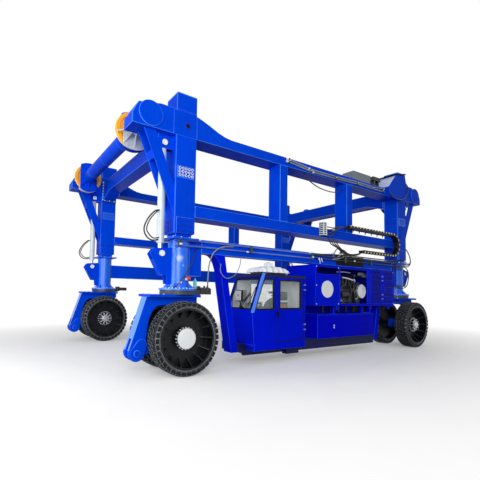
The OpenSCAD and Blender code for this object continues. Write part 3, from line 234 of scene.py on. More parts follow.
blueWear = {"shine": 0.02, "rough": 0.38, "roughVary": 0.1, "chips": 0.35, "chipColour": (70, 120, 225)}
paints = {
    "bluePaint": finish("bluePaint", (0, 76, 230), (0, 62, 214), streaks=0.16, dust=0.3, dustColour=(60, 120, 214),
                        **blueWear),
    # the Edge finishes are lighter than their paints and go on rounded edges: painted highlight along the edges
    "blueEdgeHighlight": finish("blueEdgeHighlight", (84, 154, 255), (30, 112, 252), rough=0.4, shine=0.3),
    "columnPaint": finish("columnPaint", (0, 114, 244), (0, 98, 232), streaks=0.12, dust=0.2,
                          dustColour=(60, 120, 214), patch=[((-4.035, -2.70, 2.205), 0.085, (212, 216, 222)),
                                                            ((-3.97, -2.72, 2.06), 0.03, (170, 196, 232))],
                          **dict(blueWear, shine=0.5, rough=0.3)),
    "bodyPaint": finish("bodyPaint", (0, 27, 233), (0, 18, 203), streaks=0.16, dust=0.25, dustColour=(50, 84, 200),
                        **blueWear),
    # lighter edge finish of the body blue: painted highlight
    "bodyEdgeHighlight": finish("bodyEdgeHighlight", (40, 92, 250), (14, 50, 232), rough=0.4, shine=0.3),
    "tankPaint": finish("tankPaint", (0, 7, 219), (0, 4, 187), streaks=0.2, dust=0.25, dustColour=(40, 60, 180),
                        **blueWear),
    # dark navy for the platform, its skid and the roof's edge strips: painted shade under and along these parts
    "shadeNavy": finish("shadeNavy", (8, 14, 82), (3, 6, 48), rough=0.5, shine=0.2, streaks=0.2, dust=0.2,
                         dustColour=(60, 66, 110)),
    # lighter blue for the legs' outward flanges, the frames round the upper covers and the cab's front pillar: painted
    # light and highlight
    "highlightBlue": finish("highlightBlue", (58, 138, 246), (30, 112, 236), rough=0.34, shine=0.5, coat=0.5, streaks=0.2,
                         chips=0.3, chipColour=(190, 214, 240)),
    "deepBlue": finish("deepBlue", (0, 48, 190), (0, 34, 150), rough=0.35, shine=0.3, streaks=0.1, dust=0.15,
                       dustColour=(40, 80, 180)),
    "pipeGrey": finish("pipeGrey", (150, 160, 176), (104, 114, 134), rough=0.3, shine=0.6, streaks=0.1),
    "pipeBlue": finish("pipeBlue", (104, 132, 220), (54, 84, 190), rough=0.3, shine=0.5, streaks=0.1),
    "blackPaint": finish("blackPaint", (26, 28, 32), (14, 15, 18), rough=0.45, dust=0.3, dustColour=(90, 92, 96),
                         chips=0.4),
    # lighter edge finish of the black paint, also used for the whole of the ring teeth: painted highlight
    "blackEdgeHighlight": finish("blackEdgeHighlight", (84, 88, 94), rough=0.5),
    "tyreRubber": finish("tyreRubber", (27, 30, 34), (14, 16, 19), rough=0.72, shine=0.2, grain=120.0,
                         grainDepth=0.002, dust=0.15, dustColour=(80, 82, 84), streaks=0.1),
    "tyreGroove": finish("tyreGroove", (150, 156, 160), (96, 102, 106), rough=0.85, shine=0.2, grain=30.0),
    # pale grey on the tyres' rounded lug edges: painted highlight
    "tyreEdgeHighlight": finish("tyreEdgeHighlight", (150, 156, 160), (88, 92, 96), rough=0.75, shine=0.3),
    "rimPaint": finish("rimPaint", (8, 13, 18), (4, 7, 11), rough=0.36, shine=0.25),
    # grey on the rims' rounded edges: painted highlight
    "rimEdgeHighlight": finish("rimEdgeHighlight", (130, 138, 142), (66, 74, 78), rough=0.4),
    "rodSteel": finish("rodSteel", (222, 225, 230), (190, 194, 200), rough=0.2, roughVary=0.06, metal=0.85,
                       grain=180.0, grainDepth=0.0003),
    "barrelPaint": finish("barrelPaint", (214, 226, 232), (184, 196, 204), rough=0.34, streaks=0.18, dust=0.15),
    "primerGrey": finish("primerGrey", (222, 228, 234), (188, 196, 204), rough=0.6, streaks=0.3, dust=0.2),
    # near-white on the rounded rib edges of the primer plates: painted highlight
    "primerEdgeHighlight": finish("primerEdgeHighlight", (242, 246, 248), (220, 226, 232), rough=0.6),
    "sheavePaint": finish("sheavePaint", (255, 184, 30), (244, 154, 14), rough=0.35, coat=0.2, streaks=0.1, chips=0.3,
                          chipColour=(170, 130, 60)),
    # pale yellow on the sheaves' rounded edges: painted highlight
    "sheaveEdgeHighlight": finish("sheaveEdgeHighlight", (255, 224, 110), (250, 200, 70), rough=0.35),
    "chainPlastic": finish("chainPlastic", (10, 11, 13), (4, 5, 6), rough=0.5, shine=0.3),
    "chainDot": finish("chainDot", (255, 240, 204), (250, 222, 172), rough=0.45),
    "chainBronze": finish("chainBronze", (96, 76, 52), (58, 46, 34), rough=0.5),
    "cabinetPaint": finish("cabinetPaint", (124, 136, 142), (98, 110, 116), rough=0.55, streaks=0.2, dust=0.3),
    "engineMetal": finish("engineMetal", (52, 53, 57), (24, 24, 27), rough=0.45, metal=0.3, grain=30.0,
                          grainDepth=0.004, chips=0.6, chipColour=(150, 150, 150)),
    "seatCloth": finish("seatCloth", (44, 46, 52), (30, 31, 36), rough=0.9, shine=0.2, grain=400.0, grainDepth=0.003),
    "trimPlastic": finish("trimPlastic", (46, 48, 54), (32, 34, 38), rough=0.6, grain=250.0, grainDepth=0.002),
    "hingeSteel": finish("hingeSteel", (150, 152, 156), (110, 112, 118), rough=0.4, metal=0.8),
    "padPlastic": finish("padPlastic", (60, 60, 60), (44, 44, 44), rough=0.6),
    "whitePaint": finish("whitePaint", (246, 248, 248), (226, 230, 232), rough=0.4, streaks=0.05),
    "sheetPlastic": finish("sheetPlastic", (250, 252, 252), (214, 220, 228), rough=0.35, grain=18.0,
                           grainDepth=0.004),
    "boltZinc": finish("boltZinc", (214, 216, 220), (170, 174, 180), rough=0.35, metal=0.7, grain=90.0),
    "hoseRubber": finish("hoseRubber", (24, 25, 27), (14, 15, 16), rough=0.45, grain=200.0, grainDepth=0.0006),
    "hoseGrey": finish("hoseGrey", (150, 156, 160), (108, 114, 120), rough=0.45, grain=200.0, grainDepth=0.0006),
    "brassFitting": finish("brassFitting", (222, 84, 40), (190, 60, 28), rough=0.4),
    "cyanBlock": finish("cyanBlock", (120, 208, 214), (96, 184, 196), rough=0.4),
    "greenClamp": finish("greenClamp", (30, 66, 60), (18, 46, 42), rough=0.5),
    "amberPlastic": finish("amberPlastic", (206, 122, 44), (166, 86, 26), rough=0.5),
    # near-black for seals, trim and small black parts; in the louvre gaps and the head bore it is painted shade
    "blackTrimAndShade": finish("blackTrimAndShade", (6, 6, 9), (3, 3, 5), rough=0.6, shine=0.12),
    "wallPanel": finish("wallPanel", (214, 218, 216), (190, 196, 196), rough=0.6),
    "floorPaint": finish("floorPaint", (252, 252, 251), (245, 245, 244), rough=0.8, shine=0.2, grain=3.0),
    "palePlate": finish("palePlate", (206, 216, 250), (160, 182, 240), rough=0.3, shine=0.6),
    "clearGlass": glass("clearGlass", (196, 212, 208)),
}
# the lighter finish that each paint's rounded edges take: painted highlight
edgeHighlightOf = {"tankPaint": "bodyEdgeHighlight", "shadeNavy": "deepBlue", "bluePaint": "blueEdgeHighlight", "columnPaint": "blueEdgeHighlight",
          "bodyPaint": "bodyEdgeHighlight", "deepBlue": "blueEdgeHighlight",
          "blackPaint": "blackEdgeHighlight", "rimPaint": "rimEdgeHighlight", "sheavePaint": "sheaveEdgeHighlight", "primerGrey": "primerEdgeHighlight"}
print("finishes made")

# ---- meshes


class Shape:
    # points and faces gathered for one piece; each call adds one closed form
    def __init__(self):
        self.points = []
        self.faces = []
        self.marks = []

    def add(self, points, faces, mark=0, place=None):
        first = len(self.points)
        self.points += [place @ Vector(p) for p in points] if place else [Vector(p) for p in points]
        self.faces += [[first + i for i in face] for face in faces]
        self.marks += [mark] * len(faces)
        return self

    def prism(self, outline, axis, low, high, mark=0, place=None):
        # an outline in the other two axes, drawn out along one axis
        def point(p, level):
            whole = list(p)
            whole.insert(axis, level)
            return whole
        n = len(outline)
        points = [point(p, low) for p in outline] + [point(p, high) for p in outline]
        faces = [list(range(n))[::-1], list(range(n, 2 * n))]
        faces += [[i, (i + 1) % n, n + (i + 1) % n, n + i] for i in range(n)]
        return self.add(points, faces, mark, place)

    def slab(self, low, high, mark=0, place=None):
        return self.prism([(low[0], low[1]), (high[0], low[1]), (high[0], high[1]), (low[0], high[1])], 2,
                          low[2], high[2], mark, place)

    def lathe(self, profile, sides=32, mark=0, place=None, ring=False):
        # a profile of radius and height turned round Z; a ring closes on itself, others close on the axis
        points, rows = [], []
        for radius, height in profile:
            if radius < 1e-6:
                rows.append([len(points)] * sides)
                points.append((0, 0, height))
            else:
                rows.append(list(range(len(points), len(points) + sides)))
                points += [(radius * math.cos(2 * math.pi * k / sides), radius * math.sin(2 * math.pi * k / sides),
                            height) for k in range(sides)]
        faces = []
        pairs = list(zip(rows, rows[1:])) + ([(rows[-1], rows[0])] if ring else [])
        for below, above in pairs:
            for k in range(sides):
                face = [below[k], below[(k + 1) % sides], above[(k + 1) % sides], above[k]]
                face = [v for i, v in enumerate(face) if v not in face[:i]]
                if len(face) > 2:
                    faces.append(face)
        return self.add(points, faces, mark, place)

    def mesh(self, mesh, place=None, mark=0):
        return self.add([v.co for v in mesh.vertices], [list(p.vertices) for p in mesh.polygons], mark, place)

    def shape(self, other, place=None):
        for mark in sorted(set(other.marks)):
            faces = [f for f, m in zip(other.faces, other.marks) if m == mark]
            used = sorted({i for f in faces for i in f})
            index = {v: k for k, v in enumerate(used)}
            self.add([other.points[i] for i in used], [[index[i] for i in f] for f in faces], mark, place)
        return self

    def object(self, name, mats, smooth=32):
        mesh = bpy.data.meshes.new(name)
        mesh.from_pydata(self.points, [], self.faces)
        mesh.polygons.foreach_set("material_index", self.marks)
        for mat in mats:
            mesh.materials.append(paints[mat])
        work = bmesh.new()
        work.from_mesh(mesh)
        bmesh.ops.recalc_face_normals(work, faces=work.faces)
        work.to_mesh(mesh)
        work.free()
        mesh.polygons.foreach_set("use_smooth", [True] * len(mesh.polygons))
        mesh.set_sharp_from_angle(angle=math.radians(smooth))
        piece = bpy.data.objects.new(name, mesh)
        scene.collection.objects.link(piece)
        return piece


def bevelled(piece, width, mark=None, rounds=2):
    # rounds the edges; mark is the material of the rounded strip, mostly a lighter edge finish that is painted
    # highlight
    bevel = piece.modifiers.new("edges", "BEVEL")
    bevel.width = width
    bevel.segments = rounds
    bevel.limit_method = "ANGLE"
    bevel.angle_limit = math.radians(35)
    bevel.harden_normals = True
    if mark is not None:
        bevel.material = mark
    return piece


def settle(piece, body, nodes=()):
    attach(piece, body)
    if nodes:
        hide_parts(*nodes)
    return piece


def dressed(node, mat, width=0.006):
    # a copy of a CAD node with merged points, rounded edges and its finish; the rounded edges take the lighter edge
    # finish, a painted highlight
    mesh = frame["nodes"][node].data.copy()
    work = bmesh.new()
    work.from_mesh(mesh)
    bmesh.ops.remove_doubles(work, verts=work.verts, dist=0.00002)
    bmesh.ops.dissolve_limit(work, angle_limit=math.radians(0.6), verts=work.verts, edges=work.edges)
    work.to_mesh(mesh)
    work.free()
    mesh.materials.clear()
    mesh.materials.append(paints[mat])
    mesh.materials.append(paints[edgeHighlightOf.get(mat, mat)])
    mesh.polygons.foreach_set("material_index", [0] * len(mesh.polygons))
    mesh.polygons.foreach_set("use_smooth", [True] * len(mesh.polygons))
    mesh.set_sharp_from_angle(angle=math.radians(32))
    # the outward faces of each leg's sloping flange take the lighter blue: painted light on those faces
    if node.endswith("_bogie"):
        mesh.materials.append(paints["highlightBlue"])  # the sloping outer flange of the leg
        outwards = -1 if "left" in node else 1
        for face in mesh.polygons:
            if face.normal.x * outwards > 0.9 and face.area > 0.05 and face.center.z > 0.5:
                face.material_index = 2
    piece = bpy.data.objects.new(node + "_finish", mesh)
    scene.collection.objects.link(piece)
    bevelled(piece, width, 1)
    return settle(piece, bodyOfNode[node], [node])


# ---- node trees for what repeats


def newTree(name, inputs):
    tree = bpy.data.node_groups.new(name, "GeometryNodeTree")
    tree.interface.new_socket("Geometry", in_out="INPUT", socket_type="NodeSocketGeometry")
    tree.interface.new_socket("Geometry", in_out="OUTPUT", socket_type="NodeSocketGeometry")
    for label, kind in inputs:
        tree.interface.new_socket(label, in_out="INPUT", socket_type="NodeSocket" + kind)
    return tree, tree.nodes.new("NodeGroupInput"), tree.nodes.new("NodeGroupOutput")


def wire(tree, *pairs):
    for start, end in pairs:
        tree.links.new(start, end)


def closeTree(tree, source, start, result):
    real = tree.nodes.new("GeometryNodeRealizeInstances")
    mat = tree.nodes.new("GeometryNodeSetMaterial")
    wire(tree, (start, real.inputs[0]), (real.outputs[0], mat.inputs["Geometry"]),
         (source.outputs["Finish"], mat.inputs["Material"]), (mat.outputs[0], result.inputs[0]))
    return tree


def ringTree():
    # a part set round a circle in the XY plane, each turned with its place
    tree, source, result = newTree("ringOfParts", [("Part", "Object"), ("Count", "Int"), ("Radius", "Float"),
                                                   ("Finish", "Material")])
    circle = tree.nodes.new("GeometryNodeMeshCircle")
    info = tree.nodes.new("GeometryNodeObjectInfo")
    index = tree.nodes.new("GeometryNodeInputIndex")
    share = tree.nodes.new("ShaderNodeMath")
    share.operation = "DIVIDE"
    turn = tree.nodes.new("ShaderNodeMath")
    turn.operation = "MULTIPLY"
    turn.inputs[1].default_value = 2 * math.pi
    spin = tree.nodes.new("ShaderNodeCombineXYZ")
    many = tree.nodes.new("GeometryNodeInstanceOnPoints")
    wire(tree, (source.outputs["Count"], circle.inputs["Vertices"]), (source.outputs["Radius"], circle.inputs["Radius"]),
         (source.outputs["Part"], info.inputs["Object"]), (index.outputs[0], share.inputs[0]),
         (source.outputs["Count"], share.inputs[1]), (share.outputs[0], turn.inputs[0]), (turn.outputs[0], spin.inputs["Z"]),
         (circle.outputs[0], many.inputs["Points"]), (info.outputs["Geometry"], many.inputs["Instance"]),
         (spin.outputs[0], many.inputs["Rotation"]))
    return closeTree(tree, source, many.outputs[0], result)


def gridTree():
    # a part set in rows and columns in the XY plane
    tree, source, result = newTree("gridOfParts", [("Part", "Object"), ("Columns", "Int"), ("Rows", "Int"),
                                                   ("Width", "Float"), ("Height", "Float"), ("Finish", "Material")])
    grid = tree.nodes.new("GeometryNodeMeshGrid")
    info = tree.nodes.new("GeometryNodeObjectInfo")
    many = tree.nodes.new("GeometryNodeInstanceOnPoints")
    wire(tree, (source.outputs["Width"], grid.inputs["Size X"]), (source.outputs["Height"], grid.inputs["Size Y"]),
         (source.outputs["Columns"], grid.inputs["Vertices X"]), (source.outputs["Rows"], grid.inputs["Vertices Y"]),
         (source.outputs["Part"], info.inputs["Object"]), (grid.outputs[0], many.inputs["Points"]),
         (info.outputs["Geometry"], many.inputs["Instance"]))
    return closeTree(tree, source, many.outputs[0], result)


def runTree():
    # a part repeated along a curve, its Z along the curve
    tree, source, result = newTree("runOfParts", [("Part", "Object"), ("Pitch", "Float"), ("Finish", "Material")])
    spots = tree.nodes.new("GeometryNodeCurveToPoints")
    spots.mode = "LENGTH"
    info = tree.nodes.new("GeometryNodeObjectInfo")
    many = tree.nodes.new("GeometryNodeInstanceOnPoints")
    wire(tree, (source.outputs["Geometry"], spots.inputs["Curve"]), (source.outputs["Pitch"], spots.inputs["Length"]),
         (source.outputs["Part"], info.inputs["Object"]), (spots.outputs["Points"], many.inputs["Points"]),
         (info.outputs["Geometry"], many.inputs["Instance"]), (spots.outputs["Rotation"], many.inputs["Rotation"]))
    return closeTree(tree, source, many.outputs[0], result)


def hoseTree():
    # a round tube along a curve
    tree, source, result = newTree("hoseOnPath", [("Radius", "Float"), ("Sides", "Int"), ("Finish", "Material")])
    circle = tree.nodes.new("GeometryNodeCurvePrimitiveCircle")
    sweep = tree.nodes.new("GeometryNodeCurveToMesh")
    sweep.inputs["Fill Caps"].default_value = True
    wire(tree, (source.outputs["Radius"], circle.inputs["Radius"]), (source.outputs["Sides"], circle.inputs["Resolution"]),
         (source.outputs["Geometry"], sweep.inputs["Curve"]), (circle.outputs[0], sweep.inputs["Profile Curve"]))
    return closeTree(tree, source, sweep.outputs[0], result)


trees = {"ring": ringTree(), "grid": gridTree(), "run": runTree(), "hose": hoseTree()}


def bake(kind, values, source=None):
    # the tree's result as a plain mesh
    holder = bpy.data.objects.new("holder", source or bpy.data.meshes.new("holder"))
    scene.collection.objects.link(holder)
    nodes = holder.modifiers.new("nodes", "NODES")
    nodes.node_group = trees[kind]
    for item in trees[kind].interface.items_tree:
        if item.item_type == "SOCKET" and item.in_out == "INPUT" and item.name in values:
            nodes[item.identifier] = values[item.name]
    graph = bpy.context.evaluated_depsgraph_get()
    mesh = bpy.data.meshes.new_from_object(holder.evaluated_get(graph))
    bpy.data.objects.remove(holder)
    return mesh


def ringOf(shape, count, radius, mat="bluePaint"):
    piece = shape.object("part", ["bluePaint"])
    mesh = bake("ring", {"Part": piece, "Count": count, "Radius": radius, "Finish": paints[mat]})
    bpy.data.objects.remove(piece)
    return mesh


def gridOf(shape, columns, rows, width, height, mat="bluePaint"):
    piece = shape.object("part", ["bluePaint"])
    mesh = bake("grid", {"Part": piece, "Columns": columns, "Rows": rows, "Width": width, "Height": height,
                         "Finish": paints[mat]})
    bpy.data.objects.remove(piece)
    return mesh


def curveOf(points, closed=False, smooth=True, fineness=10):
    data = bpy.data.curves.new("path", "CURVE")
    data.dimensions = "3D"
    data.resolution_u = fineness
    spline = data.splines.new("BEZIER" if smooth else "POLY")
    if smooth:
        spline.bezier_points.add(len(points) - 1)
        for knot, p in zip(spline.bezier_points, points):
            knot.co = p
            knot.handle_left_type = knot.handle_right_type = "AUTO"
    else:
        spline.points.add(len(points) - 1)
        for knot, p in zip(spline.points, points):
            knot.co = (*p, 1)
    spline.use_cyclic_u = closed
    return data


def hose(points, radius, sides=8, smooth=True, mat="hoseRubber", fineness=8):
    return bake("hose", {"Radius": radius, "Sides": sides, "Finish": paints[mat]},
                curveOf(points, smooth=smooth, fineness=fineness))


def runOf(shape, pitch, points, mat="chainPlastic"):
    piece = shape.object("part", ["bluePaint"])
    mesh = bake("run", {"Part": piece, "Pitch": pitch, "Finish": paints[mat]}, curveOf(points, smooth=False))
    bpy.data.objects.remove(piece)
    return mesh


def spline(points, steps=7):
    # points of a smooth line through the given ones
    knots = [Vector(p) for p in points]
    knots = [2 * knots[0] - knots[1]] + knots + [2 * knots[-1] - knots[-2]]
    line = []
    for a, b, c, d in zip(knots, knots[1:], knots[2:], knots[3:]):
        for k in range(steps):
            t = k / steps
            line.append(0.5 * (2 * b + (c - a) * t + (2 * a - 5 * b + 4 * c - d) * t * t
                               + (3 * b - a - 3 * c + d) * t ** 3))
    return line + [knots[-2]]


def cable(name, body, points, radius, mat="hoseRubber"):
    # a free hose that is held at both ends
    path = spline(points)
    piece = Shape().mesh(hose(path, radius, smooth=False, mat=mat)).object(name, [mat], smooth=70)
    settle(piece, body)
    length = sum((b - a).length for a, b in zip(path, path[1:]))


def at(x, y, z, turn=(0, 0, 0)):
    return Matrix.Translation((x, y, z)) @ Euler([math.radians(a) for a in turn]).to_matrix().to_4x4()


# ---- places taken from the frame

corners = {"near_left": (-1, -1), "near_right": (1, -1), "far_left": (-1, 1), "far_right": (1, 1)}
low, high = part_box("near_left_tyres")
colX, colY = 3.96, 2.505
wheelR = (high.z - low.z) / 2
axleX = -(low.x + high.x) / 2 - colX
faceY = (high.y - low.y) / 2
tyreW = 0.345


def atCorner(sx, sy):
    # corner axes: +X and +Y point away from the middle of the crane
    return Matrix.Translation((sx * colX, sy * colY, 0)) @ Matrix.Diagonal((sx, sy, 1, 1))


def atWheel(sx, sy, side):
    # wheel axes: Z is the axle, outwards from the tyre's open face, for the outer (1) or inner (-1) tyre
    return atCorner(sx, sy) @ Matrix.Translation((axleX, side * faceY, wheelR)) @ Matrix.Diagonal(
        (1, side, 1, 1)) @ Euler((math.radians(-90), 0, 0)).to_matrix().to_4x4()


# ---- CAD nodes that keep their shape

finishOf = {
    "bluePaint": ["column_head_plates", "cylinder_brackets", "masts", "near_sill", "far_sill", "stub_boxes",
                  "sleeve_front_plates", "sleeve_side_plates", "sleeve_caps", "overhangs", "bottom_chords",
                  "posts", "crossbeams", "struts", "cylinder_lugs", "end_covers", "head_guard",
                  "near_left_bogie", "near_right_bogie", "far_left_bogie", "far_right_bogie"],
    "columnPaint": ["round_columns"],
    "bodyPaint": ["drop_legs", "cab_shell", "engine_bay", "cab_door", "engine_door"],
    "tankPaint": ["tank"],
    # the platform takes the dark navy: painted shade on the low beam under the cab
    "shadeNavy": ["platform"],
    "blackPaint": ["slew_drives"],
    "barrelPaint": ["cylinder_barrels"],
    "rodSteel": ["cylinder_rods"],
    "padPlastic": ["wear_pads"],
    "sheavePaint": ["near_left_sheave", "near_right_sheave", "far_left_sheave", "far_right_sheave"],
    "cabinetPaint": ["cabinet"],
    "engineMetal": ["engine_block"],
    "hingeSteel": ["cab_hinges", "bay_hinge_pins"],
    "trimPlastic": ["cab_console"],
    "rimPaint": ["near_left_rims", "near_right_rims", "far_left_rims", "far_right_rims"],
}
edgeWidth = {"bluePaint": 0.009, "rimPaint": 0.004, "sheavePaint": 0.005, "hingeSteel": 0.002, "cabinetPaint": 0.01}
for mat, nodes in finishOf.items():
    for node in nodes:
        dressed(node, mat, 0.004 if node in ("cab_door", "engine_door") else edgeWidth.get(mat, 0.005))
for node in ("cab_glass", "door_glass"):
    pane = frame["nodes"][node]
    pane.data.materials.clear()
    pane.data.materials.append(paints["clearGlass"])
print("frame dressed")

# ---- top chords, each in one piece with its haunches

chord = {"half": 3.735, "low": 4.625, "thin": 4.840, "deep": 5.105, "haunch": 0.885, "in": 2.280, "out": 2.730,
         "bend": ((0, 1), (0.152, 0.86), (0.367, 0.6), (0.605, 0.28), (0.8, 0.09), (1, 0))}
line = [(chord["half"] - chord["haunch"] * a, chord["thin"] + (chord["deep"] - chord["thin"]) * b)
        for a, b in chord["bend"]]
outline = [(-chord["half"], chord["low"]), (chord["half"], chord["low"])] + line + [(-x, z) for x, z in line[::-1]]
for label, y0, y1 in (("near", -chord["out"], -chord["in"]), ("far", chord["in"], chord["out"])):
    beam = Shape().prism(outline, 1, y0, y1).object(label + "_top_chord", ["bluePaint", "blueEdgeHighlight"])
    settle(bevelled(beam, 0.009, 1), "upper_frame", ["top_chords", "chord_haunches"])
print("chords made")

# ---- tyres

tyre = {"lugs": 36, "outer": 0.090, "inner": 0.078, "tread": 0.648, "bead": 0.545}


def lugShape(section, front, back, lean):
    # a tread block: its section in radius and width, its length round the tyre at its two ends
    points = [(r - wheelR, end * ((front if h > 0.12 else back) / 2) + lean * h, h)
              for end in (-1, 1) for r, h in section]
    n = len(section)
    faces = [list(range(n))[::-1], list(range(n, 2 * n))] + [[i, (i + 1) % n, n + (i + 1) % n, n + i]
                                                             for i in range(n)]
    return Shape().add(points, faces)


def tyreShape(t):
    half = tyreW / 2
    wall = [(t["bead"] + 0.004, 0.140), (t["bead"] + 0.005, 0.160), (t["bead"] + 0.014, 0.167),
            (0.568, 0.168), (0.572, 0.1725), (0.584, 0.1725), (0.588, 0.158), (0.610, 0.150), (0.630, 0.138)]
    profile = wall + [(r, -h) for r, h in reversed(wall)]
    tread = [(0.626, 0.138), (t["tread"], 0.120), (t["tread"] + 0.003, 0.0), (t["tread"], -0.120), (0.626, -0.138)]
    body = Shape().lathe([(r, h - half) for r, h in profile], sides=96, ring=True)
    body.lathe([(r, h - half) for r, h in tread], sides=96, ring=True)
    pale = [(0.586, 0.1590), (0.610, 0.1515), (0.632, 0.1395), (0.644, 0.1260), (0.630, 0.120), (0.590, 0.140)]
    for side in (1, -1):  # dusty ground between the shoulder blocks
        body.lathe([(r, side * h - half) for r, h in pale], sides=96, mark=2, ring=True)
    shoulder = lugShape([(0.636, 0.085), (0.684, 0.085), (0.684, 0.128), (0.678, 0.152), (0.662, 0.1700),
                         (0.592, 0.1742), (0.587, 0.150)], t["outer"], t["outer"] * 0.92, 0.06)
    middle = lugShape([(0.636, 0.008), (0.6845, 0.008), (0.684, 0.074), (0.636, 0.074)], t["inner"], t["inner"], 0.35)
    for kind, (form, shift) in enumerate(((shoulder, 0.0), (middle, 0.5))):
        mesh = ringOf(form, t["lugs"], wheelR)
        for side in (1, -1):
            turn = (shift + (0.5 if side < 0 else 0.0)) * 360 / t["lugs"]
            body.mesh(mesh, at(0, 0, -half, (0 if side > 0 else 180, 0, turn)))
    return body


tyreForm = tyreShape(tyre)
for name, (sx, sy) in corners.items():
    pair = Shape()
    for side in (1, -1):
        pair.shape(tyreForm, atWheel(sx, sy, side))
    piece = pair.object(name + "_tyres_tread", ["tyreRubber", "tyreEdgeHighlight", "tyreGroove"])
    bevelled(piece, 0.008, 1, rounds=1)
    settle(piece, name + "_wheels", [name + "_tyres"])
print("tyres made")

# ---- hubs

hub = {"coverR": 0.190, "points": 10, "nuts": 20, "nutR": 0.199}
nut = Shape().lathe([(0, -0.02), (0.017, -0.02), (0.017, 0.016), (0.012, 0.02), (0, 0.022)], sides=6)
for name, (sx, sy) in corners.items():
    plates, metal = Shape(), Shape()
    for side in (1, -1):
        face = atWheel(sx, sy, side)
        if name == "near_left" and side == 1:
            plates.lathe([(0, -0.095), (hub["coverR"] - 0.004, -0.095), (hub["coverR"], -0.088), (hub["coverR"], -0.066),
                          (hub["coverR"] - 0.008, -0.058), (0.12, -0.052), (0, -0.050)], sides=48, place=face)
            metal.mesh(ringOf(nut, hub["nuts"], hub["nutR"]), face @ at(0, 0, -0.12))
        else:
            metal.lathe([(0, -0.11), (0.095, -0.11), (0.10, -0.10), (0.10, -0.035), (0.088, -0.022), (0.05, -0.020),
                         (0.045, -0.010), (0, -0.008)], sides=32, place=face)
            ray = Shape().prism([(0.06, -0.024), (0.165, -0.016), (0.178, -0.008), (0.178, 0.008), (0.165, 0.016),
                                 (0.06, 0.024)], 2, -0.10, -0.062)
            metal.mesh(ringOf(ray, hub["points"], 0.0), face)
            metal.mesh(ringOf(nut, hub["points"], 0.158), face @ at(0, 0, -0.058))
            metal.mesh(ringOf(nut, hub["nuts"], hub["nutR"]), face @ at(0, 0, -0.13))
    if plates.points:
        cover = bevelled(plates.object(name + "_hub_cover", ["whitePaint"]), 0.003)
        settle(cover, name + "_wheels")
    settle(bevelled(metal.object(name + "_hub_metal", ["boltZinc"]), 0.002, rounds=1), name + "_wheels")
print("hubs made")

# ---- energy chain

chain = {"pitch": 0.1365, "r": 0.31, "lowZ": 2.775, "bendX": 3.16, "upX": 1.08, "lowX": 1.712, "y": -2.83,
         "width": 0.15, "height": 0.07}


def chainPath(c, shift=0.0):
    upZ, r = c["lowZ"] + 2 * c["r"], c["r"]
    turn = [(c["bendX"] + r * math.cos(math.radians(a)), c["y"] + shift,
             c["lowZ"] + r + r * math.sin(math.radians(a))) for a in range(-90, 91, 10)]
    return [(c["lowX"], c["y"] + shift, c["lowZ"])] + turn + [(c["upX"], c["y"] + shift, upZ)]


def linkShape(c):
    # along a run X is the chain's outer side across its width, Y points out of the loop and Z along it
    link = Shape()
    half, h, p = c["width"] / 2, c["height"] / 2, c["pitch"] / 2
    for s in (-1, 1):
        x0, x1 = sorted((s * (half - 0.012), s * half))
        link.prism([(-h + 0.006, -p * 1.02), (h - 0.006, -p * 1.02), (h, -p * 0.8), (h, p * 0.8), (h - 0.006, p * 0.99),
                    (-h + 0.006, p * 0.99), (-h, p * 0.8), (-h, -p * 0.8)], 0, x0, x1)
        x0, x1 = sorted((s * half, s * (half + 0.004)))
        link.prism([(-h + 0.004, -p * 0.66), (h - 0.012, -p * 0.66), (h - 0.012, p * 0.62), (-h + 0.004, p * 0.62)],
                   0, x0, x1)
    for y in (-h + 0.002, h - 0.008):
        link.slab((-half + 0.011, y, -p * 0.55), (half - 0.011, y + 0.006, p * 0.55))
    return link


chainForm = Shape().mesh(runOf(linkShape(chain), chain["pitch"], chainPath(chain)))
for shift in (-0.048, -0.016, 0.018, 0.050):
    chainForm.mesh(hose(chainPath(chain, shift), 0.015, smooth=False))
for mark, y, z, r in ((1, 0.018, 0.0, 0.026), (2, -0.012, 0.034, 0.011), (2, -0.014, -0.028, 0.009)):
    dot = Shape()
    for s in (-1, 1):
        dot.lathe([(0, -0.006), (r, -0.006), (r * 0.9, 0.004), (0, 0.006)], sides=12,
                  place=at(s * (chain["width"] / 2 + 0.002), y, z, (0, s * 90, 0)))
    chainForm.mesh(runOf(dot, chain["pitch"], chainPath(chain)), mark=mark)
settle(chainForm.object("energy_chain_links", ["chainPlastic", "chainDot", "chainBronze"]), "upper_frame",
       ["energy_chain"])

comb = Shape()
comb.slab((-0.015, -2.872, 3.062), (0.115, -2.732, 3.398), mark=1)
for x in (-0.020, 0.088):
    comb.slab((x, -2.882, 3.062), (x + 0.032, -2.862, 3.398))
for k in range(7):
    comb.slab((-0.020, -2.880, 3.066 + k * 0.050), (0.120, -2.866, 3.090 + k * 0.050))
    comb.slab((-0.021, -2.872, 3.066 + k * 0.050), (-0.012, -2.740, 3.090 + k * 0.050))
tray = Shape()
tray.slab((1.020, -2.898, 3.348), (2.912, -2.732, 3.358))
for y in (-2.900, -2.740):
    tray.slab((1.020, y, 3.350), (2.912, y + 0.008, 3.372))
for k in range(7):
    tray.prism([(-2.760, 3.348), (-2.732, 3.348), (-2.732, 3.285)], 0, 1.10 + k * 0.29, 1.125 + k * 0.29)
settle(bevelled(comb.object("chain_comb", ["whitePaint", "blackTrimAndShade"]), 0.003, rounds=1), "upper_frame",
       ["chain_trough"])
settle(bevelled(tray.object("chain_tray", ["blackPaint", "blackEdgeHighlight"]), 0.002, 1, 1), "upper_frame",
       ["chain_trough"])
